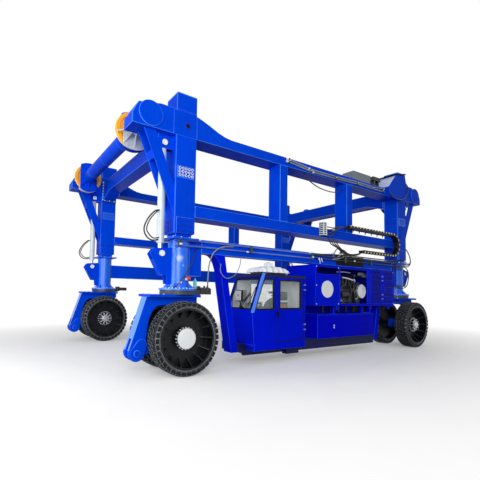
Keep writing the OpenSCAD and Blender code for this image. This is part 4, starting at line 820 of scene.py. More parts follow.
for k, (z, sag) in enumerate(((3.12, 0.05), (3.17, 0.02), (3.24, 0.0), (3.30, -0.01))):
    cable("chain_cable_" + "abcd"[k], "upper_frame",
          [(0.118, -2.84 + k * 0.02, z), (0.30, -2.85 + k * 0.02, z - sag), (0.50, -2.85 + k * 0.02, 3.22 + k * 0.03),
           (0.74, -2.84 + k * 0.016, 3.345 + k * 0.01), (1.085, -2.86 + k * 0.02, 3.392)], 0.013)
for k in range(4):
    y = -2.86 + k * 0.02
    cable("loop_cable_" + "abcd"[k], "upper_frame",
          [(1.722, y, 2.772), (1.50, y - 0.01, 2.70 - k * 0.012), (1.20 - k * 0.05, y + 0.05, 2.66 - k * 0.01),
           (0.90 - k * 0.05, y + 0.07, 2.74 + k * 0.02), (0.74 - k * 0.06, y + 0.13, 2.90), (0.70 - k * 0.07, y + 0.17, 3.040)],
          0.014)
print("chain made")

# ---- bolts, rings and pins


def hexShape(r=0.016, h=0.013):
    # hexagon head on a washer, standing on Z = 0
    shape = Shape().lathe([(0, -0.004), (r * 1.45, -0.004), (r * 1.45, 0.0025), (0, 0.0025)], sides=12)
    return shape.lathe([(0, 0.0), (r, 0.0), (r, h * 0.78), (r * 0.84, h), (0, h)], sides=6)


bolt = hexShape()
smallBolt = hexShape(0.011, 0.009)
ringBolts = {"flange": 32, "flangeR": 0.359, "teeth": 84}

for name, (sx, sy) in corners.items():
    corner = atCorner(sx, sy)
    fixed = Shape()
    fixed.mesh(ringOf(bolt, ringBolts["flange"], ringBolts["flangeR"]), corner @ at(0, 0, 1.610))
    for x, y in [(s * 0.262, t * q) for s in (-1, 1) for t in (-1, 1) for q in (0.09, 0.262)] + \
            [(s * 0.09, t * 0.262) for s in (-1, 1) for t in (-1, 1)]:
        fixed.shape(bolt, corner @ at(x, y, 2.600))
    settle(fixed.object(name + "_column_bolts", ["boltZinc"]), "chassis")
    teeth = Shape()
    # the slew ring's teeth are all in the lighter edge grey: painted highlight
    tooth = Shape().prism([(0.350, -0.008), (0.366, -0.005), (0.366, 0.005), (0.350, 0.008)], 2, 1.500, 1.558)
    teeth.mesh(ringOf(tooth, ringBolts["teeth"], 0.0), corner)
    settle(teeth.object(name + "_ring_teeth", ["blackEdgeHighlight"]), "chassis")
    head = Shape()
    for x in (-0.33, 0.42, 0.53, 0.64):
        for y in (-0.235, 0.235):
            head.shape(bolt, corner @ at(x, y, 1.490))
    settle(head.object(name + "_bogie_bolts", ["boltZinc"]), name + "_bogie")


def pinCap():
    cap = Shape().lathe([(0, -0.01), (0.056, -0.01), (0.060, -0.006), (0.060, 0.004), (0.055, 0.009), (0.034, 0.010),
                         (0.031, 0.006), (0.014, 0.006), (0.012, 0.010), (0, 0.011)], sides=28)
    return cap


cap = pinCap()
for name, (sx, sy) in corners.items():
    corner = atCorner(sx, sy)
    for body, label, z in (("chassis", "low", 2.280), ("upper_frame", "high", 4.460)):
        pins = Shape()
        for side in (1, -1):
            place = corner @ at(0.415, side * 0.106, z) @ Matrix.Diagonal((1, side, 1, 1)) @ at(0, 0, 0, (-90, 0, 0))
            pins.shape(cap, place)
            for k in range(3):
                a = 2 * math.pi * k / 3 + 0.5
                pins.shape(hexShape(0.008, 0.007), place @ at(0.045 * math.cos(a), 0.045 * math.sin(a), 0.007))
        settle(pins.object(name + "_pin_caps_" + label, ["whitePaint"]), body)
print("bolts and pins made")

# ---- swing arm pivots

pivot = {"x": 0.890, "z": 0.410, "y": 0.145, "r": 0.128, "topX": 0.800, "topZ": 0.560, "topR": 0.105}


def pivotPlate(p):
    # rounded plate from the pivot up along the leg
    outline = []
    dx, dz = p["topX"] - p["x"], p["topZ"] - p["z"]
    along = math.atan2(dz, dx)
    for k in range(13):
        a = along + math.pi / 2 + math.pi * k / 12
        outline.append((p["x"] + p["r"] * math.cos(a), p["z"] + p["r"] * math.sin(a)))
    for k in range(13):
        a = along - math.pi / 2 + math.pi * k / 12
        outline.append((p["topX"] + p["topR"] * math.cos(a), p["topZ"] + p["topR"] * math.sin(a)))
    return outline


for name, (sx, sy) in corners.items():
    corner = atCorner(sx, sy)
    plates, fixings = Shape(), Shape()
    for side in (1, -1):
        low, high = sorted((side * 0.120, side * (pivot["y"] + 0.003)))
        plates.prism(pivotPlate(pivot), 1, low, high, place=corner)
        face = corner @ at(pivot["x"], side * pivot["y"], pivot["z"]) @ Matrix.Diagonal((1, side, 1, 1)) @ \
            at(0, 0, 0, (-90, 0, 0))
        plates.lathe([(0, 0), (0.062, 0), (0.064, 0.004), (0.064, 0.022), (0.058, 0.028), (0.020, 0.028), (0, 0.026)],
                     sides=32, place=face)
        for k in range(3):
            a = 2 * math.pi * k / 3 + 0.4
            fixings.shape(smallBolt, face @ at(0.036 * math.cos(a), 0.036 * math.sin(a), 0.028))
    settle(bevelled(plates.object(name + "_pivot_plates", ["bluePaint", "blueEdgeHighlight"]), 0.005, 1),
           name + "_bogie")
    settle(fixings.object(name + "_pivot_bolts", ["deepBlue"]), name + "_bogie")
print("pivots made")

# ---- slide pad covers on the sleeves

pads = {"low": (2.700, 2.985), "high": (3.790, 4.020), "half": 0.200, "thick": 0.007}
washer = Shape().lathe([(0.014, -0.002), (0.028, -0.002), (0.028, 0.003), (0.014, 0.004)], sides=14, ring=True)
for name, (sx, sy) in corners.items():
    corner = atCorner(sx, sy)
    covers, heads, bright, rims = Shape(), Shape(), Shape(), Shape()
    for side in (1, -1):
        # outer and inner faces along the crane
        for z0, z1 in (pads["low"], pads["high"]):
            x0, x1 = sorted((side * 0.222, side * (0.225 + pads["thick"])))
            covers.slab((x0, -0.190, z0), (x1, 0.190, z1), place=corner)
        face = corner @ at(side * (0.225 + pads["thick"]), 0, 0) @ Matrix.Diagonal((side, 1, 1, 1)) @ at(0, 0, 0, (90, 0, 90))
        heads.mesh(gridOf(bolt, 4, 6, 0.27, 0.235), face @ at(0, 2.8425, 0))
        heads.mesh(gridOf(smallBolt, 4, 3, 0.27, 0.150), face @ at(0, 3.905, 0))
        front = corner @ Matrix.Diagonal((1, side, 1, 1)) @ at(0, 0.233, 0, (90, 0, 180))
        heads.mesh(gridOf(bolt, 4, 3, 0.27, 0.215), front @ at(0, 2.8425, 0))
        bright.mesh(gridOf(washer, 5, 3, 0.28, 0.135), front @ at(0, 3.905, 0))
        heads.mesh(gridOf(smallBolt, 5, 3, 0.28, 0.135), front @ at(0, 3.905, 0.002))
        # a thin frame of lighter blue round each upper cover: painted highlight along its edges
        for z in (3.800, 4.010):
            y0, y1 = sorted((side * 0.226, side * 0.234))
            rims.slab((-0.185, y0, z - 0.006), (0.185, y1, z + 0.006), place=corner)
        for x in (-0.185, 0.173):
            rims.slab((x, y0, 3.800), (x + 0.012, y1, 4.010), place=corner)
    # washers are white on the near left, where the cover is pale and its bolt heads are bright, and edge highlight blue
    # elsewhere: partly painted highlight
    settle(bright.object(name + "_high_washers", ["whitePaint" if name == "near_left" else "blueEdgeHighlight"]),
           "upper_frame")
    settle(bevelled(rims.object(name + "_high_rims", ["highlightBlue"]), 0.002, rounds=1), "upper_frame")
    settle(bevelled(covers.object(name + "_pad_covers", ["bluePaint", "blueEdgeHighlight"]), 0.002, 1, 1),
           "upper_frame")
    settle(heads.object(name + "_pad_bolts", ["deepBlue"]), "upper_frame")
print("pad covers made")

# ---- plates of the heads

for name, (sx, sy) in corners.items():
    corner = atCorner(sx, sy)
    straps = Shape()
    for side in (1, -1):
        y0, y1 = sorted((side * 0.222, side * 0.233))
        if not (name == "near_right" and side == 1):
            straps.prism([(0.300, 4.620), (0.300, 5.100), (-0.225, 5.120), (-0.225, 4.620)], 1, y0, y1, place=corner)
        straps.prism([(0.225, 5.128), (0.225, 5.142), (-0.225, 5.142), (-0.225, 5.128)], 1, y0, y1, place=corner)
    settle(bevelled(straps.object(name + "_head_plates", ["bluePaint", "blueEdgeHighlight"]), 0.004, 1, 1),
           "upper_frame")
    bossY = 0.233
    boss = Shape().lathe([(0.040, -0.01), (0.058, -0.01), (0.060, 0.010), (0.056, 0.014), (0.046, 0.014), (0.040, 0.008)],
                         sides=32, ring=True, place=corner @ at(-0.016, bossY, 4.841, (-90, 0, 0)))
    if name != "near_right":
        # a dark disc in the boss's bore: painted shade
        hole = Shape().lathe([(0, -0.006), (0.042, -0.006), (0.042, 0.002), (0, 0.002)], sides=32,
                             place=corner @ at(-0.016, bossY, 4.841, (-90, 0, 0)))
        boss.shape(Shape().add(hole.points, hole.faces, 1))
        settle(boss.object(name + "_head_boss", ["deepBlue", "blackTrimAndShade"]), "upper_frame")
print("head plates made")

# ---- cross tubes, sheave plates and their gussets

plates = {"x": 4.745, "z": 4.875, "r": 0.425, "side": 0.235, "footTop": -0.26, "outerTop": 0.13,
          "inner": (1.750, 1.775), "outer": (1.905, 1.930), "tubeR": 0.165, "stubR": 0.130, "wallY": 2.282}


def plateOutline(p, outer):
    # round at the bottom, flat at the sides, +X away from the sleeve; the inner one has a foot to the crossbeam
    side, r = p["side"], p["r"]
    drop = math.sqrt(r * r - side * side)
    arc = [math.radians(a) for a in range(236, 305, 4)]
    line = [(-side, -drop)] + [(r * math.cos(a), r * math.sin(a)) for a in arc] + [(side, -drop)]
    if outer:
        line += [(side, p["outerTop"]), (-side, p["outerTop"])]
    else:
        line += [(side, drop)] + [(r * math.cos(a), -r * math.sin(a)) for a in arc[::-1]] + [(-side, drop)]
        line += [(-side, p["footTop"] + 0.05), (-side - 0.05, p["footTop"]), (-0.34, p["footTop"]), (-0.34, -drop + 0.08)]
    return line


def gusset(inner, outer, rise, thick=0.008):
    # a thin fin on a plate at Z = 0, along +X
    return Shape().prism([(inner, 0.0), (outer, 0.0), (outer, 0.012), (outer * 0.6, rise * 0.6), (inner, rise)], 1,
                         -thick, thick)


tubes, hangers = Shape(), Shape()
for name, (sx, sy) in corners.items():
    corner = Matrix.Translation((sx * plates["x"], 0, plates["z"])) @ Matrix.Diagonal((sx, sy, 1, 1))
    tubes.prism(plateOutline(plates, False), 1, plates["inner"][0], plates["inner"][1], place=corner)
    hangers.prism(plateOutline(plates, True), 1, plates["outer"][0], plates["outer"][1], place=corner)
    inward = corner @ at(0, plates["inner"][0], 0, (90, 0, 0))
    outward = corner @ at(0, plates["outer"][1], 0) @ Matrix.Diagonal((1, 1, -1, 1)) @ at(0, 0, 0, (-90, 0, 0))
    for k in range(10):
        a = 18 + 36 * k
        reach = min(0.405, 0.248 / max(0.1, abs(math.cos(math.radians(a)))))  # each fin ends on its plate
        tubes.shape(gusset(plates["tubeR"] - 0.01, reach, 0.10), inward @ at(0, 0, 0, (0, 0, a)))
        if a > 180 or a in (18, 162):
            turn = outward @ at(0, 0, 0, (0, 0, a))
            hangers.shape(gusset(plates["stubR"] - 0.01, 0.395 if 190 < a < 350 else 0.215, 0.12, 0.009), turn)
    hangers.lathe([(0, 0), (plates["stubR"], 0), (plates["stubR"], plates["wallY"] - plates["outer"][1]),
                   (0, plates["wallY"] - plates["outer"][1])], sides=40,
                  place=corner @ at(0, plates["outer"][1], 0, (-90, 0, 0)))
    shaft = plates["outer"][0] - plates["inner"][1]
    tubes.lathe([(0, 0), (0.060, 0), (0.060, shaft), (0, shaft)], sides=32,
                place=corner @ at(0, plates["inner"][1], 0, (-90, 0, 0)))
for sx in (-1, 1):
    tube = [(0, -plates["inner"][0]), (plates["tubeR"], -plates["inner"][0]), (plates["tubeR"], plates["inner"][0]),
            (0, plates["inner"][0])]
    tubes.lathe(tube, sides=56, place=at(sx * plates["x"], 0, plates["z"], (-90, 0, 0)))
    # three raised rings on each tube in the edge highlight blue: painted highlight
    for y in (-1.2, 0.0, 1.2):
        ring = [(plates["tubeR"] - 0.004, y - 0.006), (plates["tubeR"] + 0.003, y - 0.004),
                (plates["tubeR"] + 0.003, y + 0.004), (plates["tubeR"] - 0.004, y + 0.006)]
        tubes.lathe(ring, sides=56, mark=1, ring=True, place=at(sx * plates["x"], 0, plates["z"], (-90, 0, 0)))
settle(bevelled(tubes.object("tube_and_plates", ["bluePaint", "blueEdgeHighlight"]), 0.004, 1, 1), "upper_frame",
       ["cross_tubes"])
settle(bevelled(hangers.object("outer_sheave_plates", ["primerGrey", "primerEdgeHighlight"]), 0.004, 1, 1), "upper_frame",
       ["hoist_hangers"])
print("sheave plates made")

# ---- bolts of the crossbeam flanges

flanges, eyes = Shape(), Shape()
for sx in (-1, 1):
    for sy in (-1, 1):
        inner = atCorner(sx, sy) @ at(0, -0.265, 0) @ at(0, 0, 0, (90, 0, 0))
        for x in (-0.2075, 0.2075):
            for k in range(7):
                flanges.shape(bolt, inner @ at(x, 4.41 + k * 0.09, 0))
        for k in range(3):
            place = inner @ at(-0.15 + k * 0.15, 4.385, 0)
            eyes.lathe([(0, -0.004), (0.050, -0.004), (0.050, 0.010), (0.040, 0.014), (0, 0.014)], sides=24, place=place)
            flanges.shape(bolt, place @ at(0, 0, 0.014))
settle(flanges.object("crossbeam_bolts", ["boltZinc"]), "upper_frame")
settle(eyes.object("crossbeam_eyes", ["blackTrimAndShade"]), "upper_frame")
print("crossbeam bolts made")

# ---- cab trim

cab = {"doorX": (-1.632, -0.768), "doorZ": (0.488, 1.907), "pane": (-1.552, -0.848, 1.198, 1.867),
       "sillZ": 1.190, "headZ": 1.885}


def frameLoop(inner, width, low, high, axis=1, mark=0, place=None):
    # a flat ring between an outline and the same outline grown by a width
    n = len(inner)
    grown = []
    for k in range(n):
        a, b, c = Vector(inner[k - 1]), Vector(inner[k]), Vector(inner[(k + 1) % n])
        d0, d1 = (b - a).normalized(), (c - b).normalized()
        n0, n1 = Vector((d0.y, -d0.x)), Vector((d1.y, -d1.x))
        m = (n0 + n1).normalized()
        grown.append(tuple(b + m * (width / max(0.3, m.dot(n0)))))
    points, faces = [], []
    for level in (low, high):
        for loop in (inner, grown):
            for p in loop:
                whole = list(p)
                whole.insert(axis, level)
                points.append(whole)
    for k in range(n):
        j = (k + 1) % n
        faces += [[k, j, n + j, n + k], [2 * n + k, 3 * n + k, 3 * n + j, 2 * n + j],
                  [k, 2 * n + k, 2 * n + j, j], [n + k, n + j, 3 * n + j, 3 * n + k]]
    return Shape().add(points, faces, mark, place)


def boxLoop(x0, x1, z0, z1):
    return [(x0, z0), (x1, z0), (x1, z1), (x0, z1)]


seals = Shape()
x0, x1, z0, z1 = cab["pane"]
door = frameLoop(boxLoop(x0 + 0.028, x1 - 0.028, z0 + 0.028, z1 - 0.028), 0.034, -2.906, -2.858)
settle(bevelled(door.object("door_seal", ["blackTrimAndShade"]), 0.004, rounds=1), "cab_door")
lean = (-2.059 + 2.359) / (1.975 - 1.150)
edgeX = [-2.359 + lean * (z - 1.150) for z in (cab["sillZ"], cab["headZ"])]
quarter = [(edgeX[0] + 0.07 + 0.028, cab["sillZ"] + 0.028), (-1.710 - 0.028, cab["sillZ"] + 0.028),
           (-1.710 - 0.028, cab["headZ"] - 0.028), (edgeX[1] + 0.07 + 0.02, cab["headZ"] - 0.028)]
seals.shape(frameLoop(quarter, 0.032, -2.906, -2.858))
seals.shape(frameLoop(boxLoop(-1.640 + 0.025, -0.760 - 0.025, cab["sillZ"] + 0.025, cab["headZ"] - 0.025), 0.042, -1.992, -1.944))
rear = frameLoop(boxLoop(-2.830 + 0.025, -2.020 - 0.025, cab["sillZ"] + 0.025, cab["headZ"] - 0.025), 0.042, -0.742, -0.694, axis=0)
seals.shape(rear)
tilt = math.atan2(edgeX[1] - edgeX[0], cab["headZ"] - cab["sillZ"])
screenH = (cab["headZ"] - cab["sillZ"]) / math.cos(tilt)
onScreen = Matrix.Translation((edgeX[0], 0, cab["sillZ"])) @ Euler((0, tilt, 0)).to_matrix().to_4x4()
seals.shape(frameLoop([(-2.830 + 0.022, 0.03), (-2.020 - 0.022, 0.03), (-2.020 - 0.022, screenH - 0.03),
                       (-2.830 + 0.022, screenH - 0.03)], 0.034, -0.010, 0.032, axis=0, place=onScreen))
settle(bevelled(seals.object("cab_seals", ["blackTrimAndShade"]), 0.004, rounds=1), "chassis")

wiper = Shape()
for start, end, r in (((-0.028, -2.455, 0.060), (-0.030, -2.690, 0.370), 0.009),
                      ((-0.028, -2.515, 0.050), (-0.030, -2.715, 0.345), 0.009),
                      ((-0.030, -2.665, 0.395), (-0.030, -2.730, 0.320), 0.008),
                      ((-0.028, -2.745, 0.110), (-0.026, -2.830, 0.530), 0.008)):
    a, b = onScreen @ Vector(start), onScreen @ Vector(end)
    wiper.mesh(hose([a, (a + b) / 2, b], r, sides=6, smooth=False))
wiper.lathe([(0, 0), (0.032, 0), (0.032, 0.03), (0.02, 0.038), (0, 0.038)], sides=16,
            place=onScreen @ at(0.0, -2.485, 0.03, (0, -90, 0)))
settle(wiper.object("wiper", ["blackTrimAndShade"]), "chassis")

mirror = Shape()
mirror.slab((-2.425, -2.625, 1.360), (-2.390, -2.400, 1.612))
mirror.slab((-2.434, -2.600, 1.380), (-2.424, -2.410, 1.598), mark=1)
mirror.slab((-2.440, -2.530, 1.480), (-2.433, -2.490, 1.520), mark=2)
settle(bevelled(mirror.object("mirror_head", ["blackTrimAndShade", "wallPanel", "amberPlastic"]), 0.008, rounds=2), "chassis")
arm = Shape().mesh(hose([(-2.320, -2.600, 1.20), (-2.39, -2.58, 1.26), (-2.405, -2.53, 1.38)], 0.012, sides=8))
settle(arm.object("mirror_arm", ["blackTrimAndShade"]), "chassis")

handle = Shape()
handle.slab((-1.618, -2.918, 1.020), (-1.590, -2.899, 1.160))
handle.lathe([(0, 0), (0.016, 0), (0.016, 0.03), (0, 0.032)], sides=16, place=at(-1.604, -2.916, 1.125, (90, 0, 0)))
handle.slab((-1.612, -2.950, 1.030), (-1.596, -2.936, 1.140))
handle.slab((-1.612, -2.940, 1.030), (-1.596, -2.916, 1.046))
settle(bevelled(handle.object("door_handle", ["blackTrimAndShade"]), 0.004), "cab_door")

doorSeam = frameLoop(boxLoop(cab["doorX"][0] - 0.006, cab["doorX"][1] + 0.006, cab["doorZ"][0] - 0.006, cab["doorZ"][1] + 0.006),
                     0.012, -2.903, -2.880)
settle(doorSeam.object("door_surround", ["blackTrimAndShade"]), "chassis")

# a lighter blue strip along the cab's front pillar: painted highlight
pillar = Shape()
edge = [(-2.359 + lean * (z - 1.150), z) for z in (1.130, 2.000)]
pillar.prism([(edge[0][0] - 0.014, edge[0][1]), (edge[0][0] + 0.062, edge[0][1]), (edge[1][0] + 0.062, edge[1][1]),
              (edge[1][0] - 0.014, edge[1][1])], 1, -2.914, -2.880)
settle(bevelled(pillar.object("cab_pillar", ["highlightBlue"]), 0.006), "chassis")
# dark navy strips along the roof's front and side edges: painted shade
roof_edge_shade = Shape().slab((-2.000, -2.908, 1.918), (-0.696, -2.896, 1.979))
roof_edge_shade.slab((-2.104, -2.870, 1.912), (-2.066, -1.946, 1.979))
settle(bevelled(roof_edge_shade.object("cab_gutter", ["shadeNavy"]), 0.003, rounds=1), "chassis")

step = Shape()
step.slab((-2.330, -2.880, 0.400), (-2.287, -2.060, 0.440))
settle(bevelled(step.object("front_step", ["bodyPaint", "bodyEdgeHighlight"]), 0.004, 1), "chassis")

inside = Shape()
inside.slab((-0.790, -2.850, 0.490), (-0.745, -2.000, 1.180))
inside.slab((-2.200, -2.005, 0.490), (-0.745, -1.994, 1.180))
inside.slab((-0.760, -2.030, 1.180), (-0.742, -1.992, 1.900))
inside.slab((-2.050, -2.850, 1.905), (-0.750, -2.000, 1.930))
inside.slab((-2.180, -2.005, 1.180), (-1.650, -1.994, 1.560))
inside.slab((-2.060, -2.005, 1.560), (-1.650, -1.994, 1.900))
for y0, y1 in ((-2.835, -2.484), (-2.468, -2.020)):
    inside.slab((-0.810, y0, 1.185), (-0.795, y1, 1.900))
settle(inside.object("cab_lining", ["whitePaint"]), "chassis")

desk = Shape()
desk.slab((-2.130, -2.640, 1.095), (-2.060, -2.380, 1.330))
desk.slab((-1.300, -2.680, 1.300), (-1.060, -2.615, 1.346))
desk.slab((-1.160, -2.500, 1.390), (-0.880, -2.400, 1.600))
desk.slab((-1.900, -2.150, 0.700), (-1.500, -2.020, 1.000))
desk.slab((-1.96, -2.20, 1.36), (-1.93, -2.04, 1.62))
settle(bevelled(desk.object("cab_units", ["trimPlastic"]), 0.012), "chassis")
pale = Shape()
pale.slab((-1.310, -2.690, 1.348), (-1.050, -2.610, 1.388))
pale.slab((-1.46, -2.06, 1.22), (-1.30, -2.00, 1.34))
settle(bevelled(pale.object("cab_white_box", ["whitePaint"]), 0.010), "chassis")
amber = Shape().slab((-1.285, -2.680, 1.165), (-1.060, -2.610, 1.298))
settle(bevelled(amber.object("cab_amber_box", ["amberPlastic"]), 0.010), "chassis")
wheel = Shape()
ringPoints = [(0.19 * math.cos(2 * math.pi * k / 24), 0.19 * math.sin(2 * math.pi * k / 24), 0) for k in range(24)]
wheelPlace = at(-1.930, -2.425, 1.230, (0, -28, 0))
steering = bake("hose", {"Radius": 0.014, "Sides": 8, "Finish": paints["trimPlastic"]}, curveOf(ringPoints, closed=True))
wheel.mesh(steering, wheelPlace)
for a in (0, 120, 240):
    spoke = at(0, 0, 0, (0, 0, a))
    wheel.slab((0, -0.012, -0.006), (0.19, 0.012, 0.006), place=wheelPlace @ spoke)
wheel.lathe([(0, -0.02), (0.045, -0.02), (0.04, 0.02), (0, 0.024)], sides=20, place=wheelPlace)
wheel.mesh(hose([(-1.935, -2.425, 1.225), (-2.02, -2.425, 1.05)], 0.022, smooth=False))
settle(wheel.object("steering_wheel", ["trimPlastic"]), "chassis")
print("cab trim made")

# ---- seat

seat = {"x": -1.3645, "y": -2.425, "z": 0.480}


def cushion(name, box, puff):
    # a crowned pad: a box of eight corners, cut, smoothed and swollen, with a pressed channel round it
    mesh = bmesh.new()
    verts = [mesh.verts.new(c) for c in box]
    for face in ((0, 1, 2, 3), (7, 6, 5, 4), (0, 4, 5, 1), (1, 5, 6, 2), (2, 6, 7, 3), (3, 7, 4, 0)):
        mesh.faces.new([verts[i] for i in face])
    bmesh.ops.recalc_face_normals(mesh, faces=mesh.faces)
    bmesh.ops.subdivide_edges(mesh, edges=mesh.edges[:], cuts=8, use_grid_fill=True)
    middle = sum((v.co for v in mesh.verts), Vector()) / len(mesh.verts)
    size = Vector([max(abs(v.co[i] - middle[i]) for v in mesh.verts) for i in range(3)])
    mesh.normal_update()
    moves = {}
    for v in mesh.verts:
        away = [min(1.0, abs(v.co[i] - middle[i]) / size[i]) for i in range(3)]
        edge = sorted(away)[1]
        moves[v] = v.normal * puff * (1 - edge ** 4) - v.normal * 0.016 * (edge ** 8)
    for v, move in moves.items():
        v.co += move
    data = bpy.data.meshes.new(name)
    mesh.to_mesh(data)
    mesh.free()
    data.materials.append(paints["seatCloth"])
    data.polygons.foreach_set("use_smooth", [True] * len(data.polygons))
    piece = bpy.data.objects.new(name, data)
    scene.collection.objects.link(piece)
    rounder = piece.modifiers.new("round", "SUBSURF")
    rounder.levels = rounder.render_levels = 2
    return piece


cx, cy, cz = seat["x"], seat["y"], seat["z"]
base = cushion("seat_cushion", [(cx - .235, cy - .225, cz + .425), (cx + .225, cy - .225, cz + .425), (cx + .225, cy + .225, cz + .425),
                                (cx - .235, cy + .225, cz + .425), (cx - .235, cy - .225, cz + .512), (cx + .225, cy - .225, cz + .512),
                                (cx + .225, cy + .225, cz + .512), (cx - .235, cy + .225, cz + .512)], 0.012)
back = cushion("seat_back", [(cx + .155, cy - .205, cz + .530), (cx + .235, cy - .205, cz + .530), (cx + .235, cy + .205, cz + .530),
                             (cx + .155, cy + .205, cz + .530), (cx + .255, cy - .185, cz + 1.070), (cx + .325, cy - .185, cz + 1.070),
                             (cx + .325, cy + .185, cz + 1.070), (cx + .255, cy + .185, cz + 1.070)], 0.014)
seatBase = Shape()
seatBase.lathe([(0, 0.0), (0.15, 0.0), (0.15, 0.045), (0.14, 0.06), (0.07, 0.065), (0.058, 0.10), (0.058, 0.34), (0.10, 0.36),
                (0.10, 0.375), (0, 0.375)], sides=32, place=at(cx, cy, cz))
seatBase.slab((-0.20, -0.19, 0.37), (0.20, 0.19, 0.42), place=at(cx, cy, cz))
seatBase.slab((0.17, -0.05, 0.40), (0.25, 0.05, 0.56), place=at(cx, cy, cz))
for piece in (base, back):
    settle(piece, "chassis", ["cab_seat"])
settle(bevelled(seatBase.object("seat_pedestal", ["trimPlastic"]), 0.006), "chassis", ["cab_seat"])
print("seat made")

# ---- roof unit and its cover

roof = {"x": (-2.020, -1.090), "y": (-2.790, -2.240), "z": 2.030, "top": 2.182}
unit = Shape().slab((-1.93, -2.71, 1.975), (-1.18, -2.32, 2.128))
for k in range(9):
    unit.slab((-1.91, -2.715, 1.982 + k * 0.015), (-1.20, -2.708, 1.990 + k * 0.015))
unit = settle(bevelled(unit.object("roof_unit", ["blackPaint"]), 0.012), "chassis")


def coverHeight(u, v):
    # height of the cover over the unit, u and v from -1 to 1: walls, a sagging top, tucks and creases
    wall = (1 - abs(u) ** 7) * (1 - abs(v) ** 6)
    tuck = 0.05 * math.sin(9 * u + 2.2 * v) * math.sin(7 * v + 1.1) + 0.035 * math.sin(21 * u - 6 * v + 2 * math.sin(5 * v))
    crease = 0.03 * abs(math.sin(13 * v + 8 * u)) + 0.02 * math.sin(31 * u + 17 * v)
    bulge = 0.10 * math.cos(1.3 * u + 0.6) - 0.06 * v + 0.06 * math.sin(4.3 * u + 0.8)
    return max(0.0, wall) ** 0.55 * (0.80 + bulge + tuck + crease)


def roofCover(r):
    nx, ny = 72, 52
    points = []
    for j in range(ny + 1):
        for i in range(nx + 1):
            u, v = 2 * i / nx - 1, 2 * j / ny - 1
            u, v = math.copysign(abs(u) ** 0.72, u), math.copysign(abs(v) ** 0.72, v)
            x = (r["x"][0] + r["x"][1]) / 2 + u * (r["x"][1] - r["x"][0]) / 2 + 0.014 * math.sin(12 * v + 5 * u)
            y = (r["y"][0] + r["y"][1]) / 2 + v * (r["y"][1] - r["y"][0]) / 2 + 0.014 * math.sin(17 * u + 3 * v)
            points.append((x, y, r["z"] + coverHeight(u, v) * (r["top"] - r["z"])))
    faces = [[j * (nx + 1) + i, j * (nx + 1) + i + 1, (j + 1) * (nx + 1) + i + 1, (j + 1) * (nx + 1) + i]
             for j in range(ny) for i in range(nx)]
    return Shape().add(points, faces)


cover = settle(roofCover(roof).object("roof_cover", ["sheetPlastic"], smooth=60), "chassis")
roofBox = Shape().slab((-1.655, -2.620, 2.140), (-1.495, -2.470, 2.262))
roofBox.slab((-1.610, -2.590, 2.262), (-1.540, -2.500, 2.286))
settle(bevelled(roofBox.object("roof_box", ["whitePaint"]), 0.014, rounds=3), "chassis")
print("roof cover made")

# ---- marks and fittings of the bay

bay = {"face": -2.900, "ovalX": 0.112, "ovalZ": 1.690, "ovalW": 0.226, "ovalH": 0.214}
marks = Shape()
ovalPoints = [(bay["ovalX"] + bay["ovalW"] * math.cos(2 * math.pi * k / 64), bay["ovalZ"] + bay["ovalH"] * math.sin(2 * math.pi * k / 64))
              for k in range(64)]
marks.prism(ovalPoints, 1, bay["face"] - 0.003, bay["face"] + 0.002)
settle(marks.object("bay_marks", ["whitePaint"]), "chassis")

bayTrim, bayBolts = Shape(), Shape()
bayTrim.prism([(-0.334, 2.286), (3.144, 2.286), (3.144, 2.300), (-0.334, 2.300)], 1, -2.912, -2.890)
for x in (0.520, 1.980, 2.900):
    bayTrim.prism([(x - 0.07, 1.272), (x + 0.07, 1.272), (x + 0.05, 1.165), (x - 0.05, 1.165)], 1, -2.894, -2.860)
    bayTrim.slab((x - 0.07, -2.894, 1.252), (x + 0.07, -2.780, 1.268))
for x0, x1 in ((0.600, 0.612), (1.823, 1.835)):
    bayTrim.slab((x0 - 0.02, -2.906, 1.330), (x1 + 0.02, -2.880, 2.238))
settle(bevelled(bayTrim.object("bay_trim", ["bodyPaint", "bodyEdgeHighlight"]), 0.003, 1, 1), "chassis")
for x, z in [(-0.30, 2.25), (-0.30, 1.32), (0.55, 1.32), (0.55, 2.25), (3.11, 2.25), (3.11, 1.32), (-0.30, 1.78)]:
    bayBolts.shape(smallBolt, at(x, -2.900, z, (90, 0, 0)))
for k in range(30):
    bayBolts.shape(hexShape(0.007, 0.006), at(-0.12 + k * 0.079, -2.8215, 1.040, (90, 0, 0)))
for z in (0.707, 0.760):
    bayBolts.shape(bolt, at(0.481, -2.820, z, (90, 0, 0)))
settle(bayBolts.object("bay_bolts", ["boltZinc"]), "chassis")
# a black pan with pipes under the bay; its black also fills the gap between bay and tank as painted shade
belly = Shape().slab((0.560, -2.180, 1.020), (2.900, -2.060, 1.268))
for k in range(7):
    belly.lathe([(0, 0), (0.035, 0), (0.035, 0.22), (0, 0.22)], sides=16, place=at(0.78 + k * 0.345, -2.215, 1.04))
settle(bevelled(belly.object("bay_belly", ["blackPaint"]), 0.006, rounds=1), "chassis")
tankTrim = Shape()
tankTrim.slab((-0.158, -2.832, 1.020), (2.224, -2.815, 1.060))
tankTrim.lathe([(0, 0), (0.06, 0), (0.06, 0.02), (0.05, 0.05), (0.03, 0.055), (0, 0.055)], sides=24, place=at(2.0, -2.60, 1.058))
settle(bevelled(tankTrim.object("tank_trim", ["bodyPaint", "bodyEdgeHighlight"]), 0.003, 1, 1), "chassis")
print("bay and tank marked")

# ---- skid under the platform

